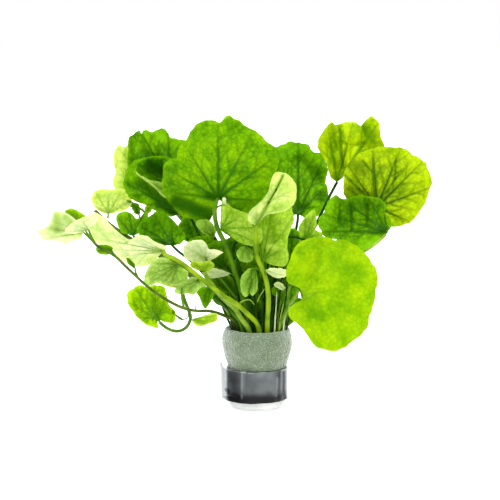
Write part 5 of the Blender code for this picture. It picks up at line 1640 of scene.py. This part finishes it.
def leaf_mesh(name, leaf, seed):
    """Return the finished mesh of a leaf: blade, veins and any petiole."""
    bm = blade_sheet(leaf, seed)
    upper = 1.0 if leaf["face"] == "upper" else -1.0
    span = LEAF_SPANS[leaf["grid"]]
    flat = BVHTree.FromBMesh(bm)
    net = vein_net(flat, leaf, span)
    flat_points, flat_sizes = [spots([leaf["joint"]])[0]], [1.0]
    for places, first, last in net:
        sizes = np.linspace(first, last, len(places))
        for place, size in zip(places, sizes):
            point = on_sheet(flat, place)
            if point is not None:
                flat_points.append(point)
                flat_sizes.append(size)
    swell(bm, flat_points, flat_sizes, leaf.get("quilt", 0.3), upper)
    bm.normal_update()
    crinkled = BVHTree.FromBMesh(bm)
    paths, radii = [], []
    scale = VEIN_RADIUS * leaf.get("vein_size", 1.0) * (0.55 + 0.45 * min(1.0, span / 19.0))
    for places, first, last in net:
        path, radius = [], []
        for place, size in zip(places, np.linspace(first, last, len(places))):
            point = on_sheet(crinkled, place)
            if point is not None:
                path.append(point)
                radius.append(size * scale)
        if len(path) > 2:
            paths.append(path)
            radii.append(radius)
    sheet = bpy.data.meshes.new(name)
    bm.to_mesh(sheet)
    bm.free()
    holder = bpy.data.objects.new(name, sheet)
    bpy.context.scene.collection.objects.link(holder)
    for look in range(4):
        sheet.materials.append(None)
    wall = holder.modifiers.new("thickness", "SOLIDIFY")
    wall.thickness = BLADE_THICKNESS * MM
    wall.offset = 0.0
    wall.material_offset = 1
    blade = bpy.data.meshes.new_from_object(holder.evaluated_get(bpy.context.evaluated_depsgraph_get()))
    bpy.data.objects.remove(holder, do_unlink=True)
    joined = bmesh.new()
    joined.from_mesh(blade)
    if paths:
        join_tubes(joined, tube_mesh(name + "_veins", paths, radii, 0), 2)
    stalk = petiole(spots([leaf["joint"]])[0])
    if stalk is not None:
        thin = PETIOLE_RADIUS * leaf.get("vein_size", 1.0) * np.linspace(1.1, 0.85, len(stalk))
        join_tubes(joined, tube_mesh(name + "_petiole", [stalk], [thin], 2), 3)
    done = bpy.data.meshes.new(name)
    joined.to_mesh(done)
    joined.free()
    mark_mesh(done, leaf, flat_points, flat_sizes)
    shade(done, 50)
    return done


def join_tubes(bm, tubes, index):
    """Add a mesh of tubes to a bmesh, with one material."""
    tubes.polygons.foreach_set("material_index", [index] * len(tubes.polygons))
    before = len(bm.faces)
    bm.from_mesh(tubes)
    bm.faces.ensure_lookup_table()
    for face in bm.faces[before:]:
        face.material_index = index


def mark_mesh(mesh, leaf, net_points, net_sizes):
    """Write how near each vertex is to a vein and to the rim, and its painted shade and painted light from the leaf's
    lines.
    """
    path = rim_points(leaf["joint"], leaf["rim"], leaf.get("lean", 0.0), leaf.get("turn", 0.0))
    rim = spots(smooth_path(path, np.linspace(0.0, 1.0, 160)))
    rim_tree = nearest_tree(rim)
    vein_tree = nearest_tree(net_points)
    strength = leaf.get("vein_mark", 1.0)
    near_vein, near_rim = [], []
    for vertex in mesh.vertices:
        point = vertex.co / MM
        _, index, gap = vein_tree.find(point)
        wide = 0.45 + 1.25 * net_sizes[index]
        near_vein.append(strength * net_sizes[index] ** 0.5 * math.exp(-((gap / wide) ** 2)))
        near_rim.append(math.exp(-((rim_tree.find(point)[2] / EDGE_WIDTH) ** 2)))
    # Painted light: the leaf's lines, where they appear from the camera, add painted shade above zero and painted light
    # below zero.
    painted_light_lines = along_lines(seen([vertex.co / MM for vertex in mesh.vertices]), leaf.get("painted_light_and_vein_lines", ()))
    painted_light_and_vein_lines = np.clip(painted_light_lines, -1.0, 2.0).astype(np.float32)
    for layer, values in (("vein", near_vein), ("edge", near_rim), ("shade", painted_light_and_vein_lines)):
        mesh.attributes.new(layer, "FLOAT", "POINT").data.foreach_set("value", values)


def young_rim(joint, way, reach, width, seed):
    """Return the rim of a small kidney-shaped leaf that grows from a joint in a direction."""
    points = []
    along = np.array((math.cos(math.radians(way)), math.sin(math.radians(way))))
    aside = np.array((-along[1], along[0]))
    for step in range(11):
        turn = math.radians(-155.0 + 31.0 * step)
        wave = 1.0 + 0.12 * math.sin(seed * 2.3 + step * 1.9)
        place = np.array(joint[:2]) + 0.5 * reach * (along * (1.02 + wave * math.cos(turn)))
        place += 0.5 * reach * width * wave * math.sin(turn) * aside
        points.append((place[0], place[1], 0.08 * reach * math.sin(seed + 2.0 * step)))
    return points


for seed, (name, leaf) in enumerate(YOUNG.items()):
    if "rim" not in leaf:
        leaf["rim"] = young_rim(leaf["joint"], leaf["way"], leaf["reach"], leaf.get("width", 1.1), seed)
    leaf["veins"] = (leaf["way"], leaf["way"] + 38, leaf["way"] - 38)

triangles = 0
for seed, (name, leaf) in enumerate({**LEAVES, **YOUNG}.items()):
    look = blade_looks[leaf["look"]]
    other = "under" if leaf["face"] == "upper" else "upper"
    skins = [look[leaf["face"]], look[other], look["vein"], stem_looks[leaf.get("stalk", "grass")]]
    mesh = leaf_mesh(name, leaf, float(seed))
    mesh.calc_loop_triangles()
    triangles += len(mesh.loop_triangles)
    place_piece(name, mesh, skins, name if name in LEAVES else None)
print("leaves:", len(LEAVES) + len(YOUNG), "with", triangles, "triangles")

# %% [markdown]
# The foam wrap is a strip of soft foam around the cut ends. The lead squeezes it, so it bulges over the band
# and peeps out under it. Its profile is turned about the axis on a fine grid, and noise presses the small
# open cells of the foam into it.

# %% Foam
FOAM_WELL = [(9.4, 4.0), (9.4, 23.0), (10.2, 29.0), (11.0, 31.5)]
FOAM_SIDE = [
    (12.4, 32.1), (13.5, 30.3), (14.0, 27.4), (13.9, 24.4), (13.0, 20.6), (11.9, 17.6), (11.2, 15.8),
    (11.2, 4.4), (10.7, 0.8), (9.8, 0.0),
]
FOAM_ROUND = 300
FOAM_UP = 200


def cells(point, size):
    """Return the depth of the foam's open cells at a point: 0 on a wall, up to 1 in the middle of a cell."""
    gaps = noise.voronoi(Vector(point) / size)[0]
    return min(1.0, (gaps[1] - gaps[0]) * 1.6)


def foam_piece():
    """Return the mesh of the foam wrap."""
    bm = bmesh.new()
    bmesh.ops.create_grid(bm, x_segments=FOAM_ROUND, y_segments=FOAM_UP, size=0.5)
    grid = np.array([vertex.co for vertex in bm.verts]) + 0.5
    profile = [(0.0, 4.0), (8.6, 4.0)] + FOAM_WELL + FOAM_SIDE + [(9.0, 0.0), (0.0, 0.0)]
    path = smooth_path(profile, np.interp(grid[:, 1], (0.0, 0.14, 0.90, 1.0), (0.0, 0.45, 0.885, 1.0)))
    angle = math.tau * grid[:, 0]
    places = np.column_stack([path[:, 0] * np.cos(angle), path[:, 0] * np.sin(angle), np.maximum(path[:, 1], 0.0)])
    for vertex, place in zip(bm.verts, places):
        vertex.co = Vector(place) * MM
    bmesh.ops.remove_doubles(bm, verts=bm.verts, dist=WELD_DISTANCE * MM)
    bmesh.ops.recalc_face_normals(bm, faces=bm.faces)
    bm.normal_update()
    moves = []
    for vertex in bm.verts:
        point = vertex.co / MM
        radius = math.hypot(point.x, point.y)
        soft = 0.0 if point.z < 0.3 else 1.0
        lump = 0.30 * noise.noise(point * 0.16) + 0.16 * noise.noise(point * 0.5)
        pit = -0.20 * cells(point, 1.1) - 0.10 * cells(point + Vector((5.0, 5.0, 5.0)), 0.6)
        inside = radius < 10.0 or 3.6 < point.z < 16.0
        moves.append(vertex.normal * ((0.0 if inside else lump) + pit + 0.12) * soft * MM)
    for vertex, move in zip(bm.verts, moves):
        vertex.co += move
        vertex.co.z = max(vertex.co.z, 0.0)
    mesh = bpy.data.meshes.new("foam")
    bm.to_mesh(mesh)
    bm.free()
    shade(mesh, 60)
    return mesh


def foam_material():
    """Return the foam's look: grey green, with painted shade in its pores and light specks, and a near-white foot that
    is paler foam brightened further by painted light.
    """
    made = bpy.data.materials.new("foam_grey_green")
    made.use_nodes = True
    tree = made.node_tree
    surface = tree.nodes["Principled BSDF"]
    place = add_node(tree, "TexCoord").outputs["Object"]
    height = add_node(tree, "SeparateXYZ", Vector=place).outputs["Z"]
    pores = add_node(tree, "TexVoronoi", Vector=place, Scale=1400.0).outputs["Distance"]
    cloud = add_node(tree, "TexNoise", Vector=place, Scale=260.0, Detail=4.0).outputs[0]
    specks = add_node(tree, "TexNoise", Vector=place, Scale=2600.0, Detail=1.0).outputs[0]
    color = add_blend(tree, add_range(tree, cloud, 0.35, 0.65), linear((92, 108, 82)), linear((106, 122, 98)))
    # Painted shade: dark spots for the pores, where the open cells lie in shade.
    color = add_blend(tree, add_range(tree, pores, 0.30, 0.05, 0.0, 0.45), color, linear((60, 74, 54)))
    color = add_blend(tree, add_range(tree, specks, 0.58, 0.70, 0.0, 0.8), color, linear((170, 182, 160)))
    # Painted light: the foot below the band turns near white, paler foam brightened further for the bright light that
    # floods it.
    foot = add_range(tree, height, 0.0044, 0.0030)
    color = add_blend(tree, foot, color, linear((236, 238, 236)))
    tree.links.new(color, surface.inputs["Base Color"])
    surface.inputs["Roughness"].default_value = 0.95
    surface.inputs["Specular IOR Level"].default_value = 0.1
    surface.inputs["Sheen Weight"].default_value = 1.0
    surface.inputs["Sheen Roughness"].default_value = 0.5
    bump = add_node(tree, "Bump", Strength=0.6, Distance=0.0004, Height=pores)
    tree.links.new(bump.outputs["Normal"], surface.inputs["Normal"])
    return made


foam = place_piece("foam_wrap", foam_piece(), [foam_material()], "foam_wrap")
print("foam:", len(foam.data.vertices), "points")

# %% [markdown]
# The lead is a soft strip, wound by hand, so it isn't round: it has shallow flats from the fingers that
# pressed it, and fine scratches along it. Its end stands off a little and its top corner curls out.

# %% Lead band
STRIP_HEIGHT = 12.7
STRIP_THICKNESS = 0.9
STRIP_BOTTOM = 3.6
STRIP_RADIUS = 12.05
STRIP_START = math.radians(250.0)
STRIP_END = math.radians(-188.0)
LAP_START = math.radians(-80.0)
LAP_TURN = math.radians(27.0)
LAP_GAP = 0.45
FLARE_START = math.radians(-120.0)
FLARE_TURN = math.radians(68.0)
FLARE = 0.9
CURL_START = 0.93
CURL_UP = 1.1
CURL_OUT = 0.55
FLAT_DEPTH = 0.14


def strip_places(q, s):
    """Return the middle of the strip's wall, q along its winding and s up its height."""
    angle = STRIP_START + q * (STRIP_END - STRIP_START)
    lapped = ease(0.0, 1.0, (LAP_START - angle) / LAP_TURN)
    flared = np.clip((FLARE_START - angle) / FLARE_TURN, 0.0, 1.0) ** 2
    curled = np.clip((q - CURL_START) / (1.0 - CURL_START), 0.0, 1.0) ** 2 * s
    radius = STRIP_RADIUS + (STRIP_THICKNESS + LAP_GAP) * lapped + FLARE * flared + CURL_OUT * curled
    radius += FLAT_DEPTH * np.sin(11.0 * angle + 1.3) * np.sin(3.0 * angle)
    height = STRIP_BOTTOM + STRIP_HEIGHT * s + CURL_UP * curled
    return np.column_stack([radius * np.cos(angle), radius * np.sin(angle), height])


# Painted light on the lead's front: lines that darken it as painted shade above zero, along the bottom and in dark
# facets, and lighten it as painted reflections below zero, in bright streaks and along the top.
STRIP_PAINTED_LIGHT = (
    (-8.9, 14.2, -8.9, 3.8, 2, 0.35), (-10.1, 3, 10.7, 3, 2.4, 0.75), (-6.9, 1.4, 5.1, 1.4, 1.6, 0.5),
    (-2.9, 13.4, 5.1, 13, 2, -0.22), (1.9, 11.8, 2.7, 9.4, 2.4, -0.12), (-6, 14.6, -6, 3, 0.4, -0.75),
    (-5.1, 13.4, -5.1, 5.4, 0.6, -0.25), (7.9, 11, 7.2, 3.8, 0.4, -0.55), (6.5, 8.6, 6.1, 4.2, 0.3, -0.3),
    (10.1, 13.4, 10.1, 3, 0.7, 0.9), (11.7, 13.8, 11.7, 3.8, 0.4, -0.5), (12.4, 11.8, 12.4, 3.8, 0.3, 0.7),
    (-12.1, 6.4, -11.3, 5.8, 0.5, 1.6), (-12.9, 3.6, -6.9, 2.9, 0.2, 0.7), (-12.9, 4.4, -7.7, 3.6, 0.2, -0.5),
    (-11.7, 14.2, -11.3, 4.6, 0.4, 0.4), (-13.7, 16.6, -10.9, 15, 0.5, 0.9),
    (-10.1, 14.8, 11.5, 14.4, 0.3, -0.3),
)


def strip_piece():
    """Return the mesh of the lead strip, with painted shade (dark) and painted reflections (light) marked on its front.
    """
    bm = bmesh.new()
    bmesh.ops.create_grid(bm, x_segments=300, y_segments=26, size=0.5)
    grid = np.array([vertex.co for vertex in bm.verts]) + 0.5
    for vertex, place in zip(bm.verts, strip_places(grid[:, 0], grid[:, 1])):
        vertex.co = Vector(place) * MM
    bmesh.ops.recalc_face_normals(bm, faces=bm.faces)
    mesh = bpy.data.meshes.new("lead")
    bm.to_mesh(mesh)
    bm.free()
    points = np.array([vertex.co for vertex in mesh.vertices]) / MM
    lead_painted_light = np.where(points[:, 1] < 3.0, along_lines(seen(points), STRIP_PAINTED_LIGHT), 0.0)
    mesh.attributes.new("shade", "FLOAT", "POINT").data.foreach_set("value", lead_painted_light.astype(np.float32))
    return mesh


def lead_material():
    """Return dull grey metal, with lengthwise scratches, a darker, matt bloom in patches, and painted shade and painted
    reflections.
    """
    made = bpy.data.materials.new("lead_grey")
    made.use_nodes = True
    tree = made.node_tree
    surface = tree.nodes["Principled BSDF"]
    place = add_node(tree, "TexCoord").outputs["Object"]
    along = add_node(tree, "Mapping", Vector=place)
    along.inputs["Scale"].default_value = (1.0, 1.0, 14.0)
    scratch = add_node(tree, "TexNoise", Vector=along.outputs[0], Scale=420.0, Detail=6.0, Roughness=0.7).outputs[0]
    bloom = add_node(tree, "TexNoise", Vector=place, Scale=190.0, Detail=4.0).outputs[0]
    color = add_blend(tree, add_range(tree, bloom, 0.35, 0.65), (0.22, 0.245, 0.25, 1.0), (0.32, 0.35, 0.355, 1.0))
    color = add_blend(tree, add_range(tree, scratch, 0.55, 0.72, 0.0, 0.35), color, (0.6, 0.62, 0.63, 1.0))
    lead_painted_light = add_node(tree, "Attribute", attribute_name="shade").outputs["Fac"]
    # Painted shade where the strip's lines are above zero, painted reflections where they are below.
    color = add_blend(tree, add_range(tree, lead_painted_light, 0.0, 1.0), color, (0.045, 0.045, 0.05, 1.0))
    color = add_blend(tree, add_range(tree, lead_painted_light, 0.0, -1.0), color, (0.72, 0.78, 0.79, 1.0))
    tree.links.new(color, surface.inputs["Base Color"])
    surface.inputs["Metallic"].default_value = 1.0
    tree.links.new(add_range(tree, bloom, 0.3, 0.7, 0.24, 0.34), surface.inputs["Roughness"])
    bump = add_node(tree, "Bump", Strength=0.25, Distance=0.0002, Height=scratch)
    tree.links.new(bump.outputs["Normal"], surface.inputs["Normal"])
    return made


band = place_piece("lead_band", strip_piece(), [lead_material()], "lead_band")
wall = band.modifiers.new("wall", "SOLIDIFY")
wall.thickness = STRIP_THICKNESS * MM
wall.offset = 0.0
wall.use_even_offset = True
soft_edge = band.modifiers.new("soft_edge", "BEVEL")
soft_edge.width = 0.15 * MM
soft_edge.segments = 2
soft_edge.limit_method = "ANGLE"
soft_edge.angle_limit = math.radians(60.0)
shade(band.data, 50)
print("band:", len(band.data.polygons), "faces")

# %% [markdown]
# The picture is high-key: a white ground, light from behind and above that shines through the leaves, and
# darker sides that draw the edges of the lead. The world is therefore white for the camera, and for all
# other rays its brightness depends on the direction.

# %% Light and floor
AROUND = ((0.0, 2.0), (0.15, 1.9), (0.19, 0.22), (0.33, 0.20), (0.38, 0.55), (0.62, 0.60), (0.68, 0.75), (0.74, 0.16),
          (0.80, 0.2), (0.84, 1.9), (1.0, 2.0))
TOP_LIGHT = 2.0
SUN_LIGHT = 1.4
WORLD_STRENGTH = 1.1


def build_world():
    """Light the scene from behind and above, and show plain white to the camera."""
    world = bpy.data.worlds.new("studio")
    bpy.context.scene.world = world
    world.use_nodes = True
    tree = world.node_tree
    shown = tree.nodes["Background"]
    shown.inputs["Color"].default_value = (1.0, 1.0, 1.0, 1.0)
    shown.inputs["Strength"].default_value = 1.0
    way = add_node(tree, "SeparateXYZ", Vector=add_node(tree, "TexCoord").outputs["Generated"])
    turn = add_math(tree, "ARCTAN2", way.outputs["X"], add_math(tree, "MULTIPLY", way.outputs["Y"], -1.0))
    share = add_math(tree, "ADD", add_math(tree, "DIVIDE", turn, math.tau), 0.5)
    ramp = tree.nodes.new("ShaderNodeValToRGB")
    tree.links.new(share, ramp.inputs[0])
    for index, (place, level) in enumerate(AROUND):
        if index > 1:
            ramp.color_ramp.elements.new(place)
        ramp.color_ramp.elements[min(index, len(ramp.color_ramp.elements) - 1)].position = place
    for element, (place, level) in zip(ramp.color_ramp.elements, AROUND):
        element.position = place
        element.color = (level / 2.0, level / 2.0, level / 2.0, 1.0)
    up = add_range(tree, way.outputs["Z"], 0.45, 0.8)
    half = TOP_LIGHT / 2.0
    color = add_blend(tree, up, ramp.outputs["Color"], (half, half, half, 1.0))
    light = tree.nodes.new("ShaderNodeBackground")
    tree.links.new(color, light.inputs["Color"])
    light.inputs["Strength"].default_value = 2.0 * WORLD_STRENGTH
    both = tree.nodes.new("ShaderNodeMixShader")
    tree.links.new(add_node(tree, "LightPath").outputs["Is Camera Ray"], both.inputs[0])
    tree.links.new(light.outputs[0], both.inputs[1])
    tree.links.new(shown.outputs[0], both.inputs[2])
    tree.links.new(both.outputs[0], tree.nodes["World Output"].inputs["Surface"])


def build_floor():
    """Lay a white floor that is a little brighter than paper, so only the softest shadow shows."""
    bm = bmesh.new()
    bmesh.ops.create_grid(bm, x_segments=1, y_segments=1, size=6.0)
    mesh = bpy.data.meshes.new("floor")
    bm.to_mesh(mesh)
    bm.free()
    floor = bpy.data.objects.new("floor", mesh)
    bpy.context.scene.collection.objects.link(floor)
    paper = bpy.data.materials.new("white_paper")
    paper.use_nodes = True
    surface = paper.node_tree.nodes["Principled BSDF"]
    surface.inputs["Base Color"].default_value = (0.9, 0.9, 0.9, 1.0)
    surface.inputs["Roughness"].default_value = 1.0
    surface.inputs["Specular IOR Level"].default_value = 0.0
    surface.inputs["Emission Color"].default_value = (1.0, 1.0, 1.0, 1.0)
    surface.inputs["Emission Strength"].default_value = 0.3
    mesh.materials.append(paper)
    floor.visible_glossy = False


def build_lamp():
    """Hang one large, soft lamp up and to the left, in front, which brings out the relief of the blades."""
    lamp_data = bpy.data.lights.new("lamp", "SUN")
    lamp_data.energy = SUN_LIGHT
    lamp_data.angle = math.radians(50.0)
    lamp = bpy.data.objects.new("lamp", lamp_data)
    bpy.context.scene.collection.objects.link(lamp)
    lamp.rotation_euler = Vector((0.35, 0.5, -1.0)).to_track_quat("-Z", "Y").to_euler()


build_world()
build_floor()
build_lamp()
bpy.context.scene.view_settings.view_transform = "Standard"
bpy.context.scene.view_settings.look = "None"
print("light from behind", AROUND[0][1], "and from above", TOP_LIGHT)
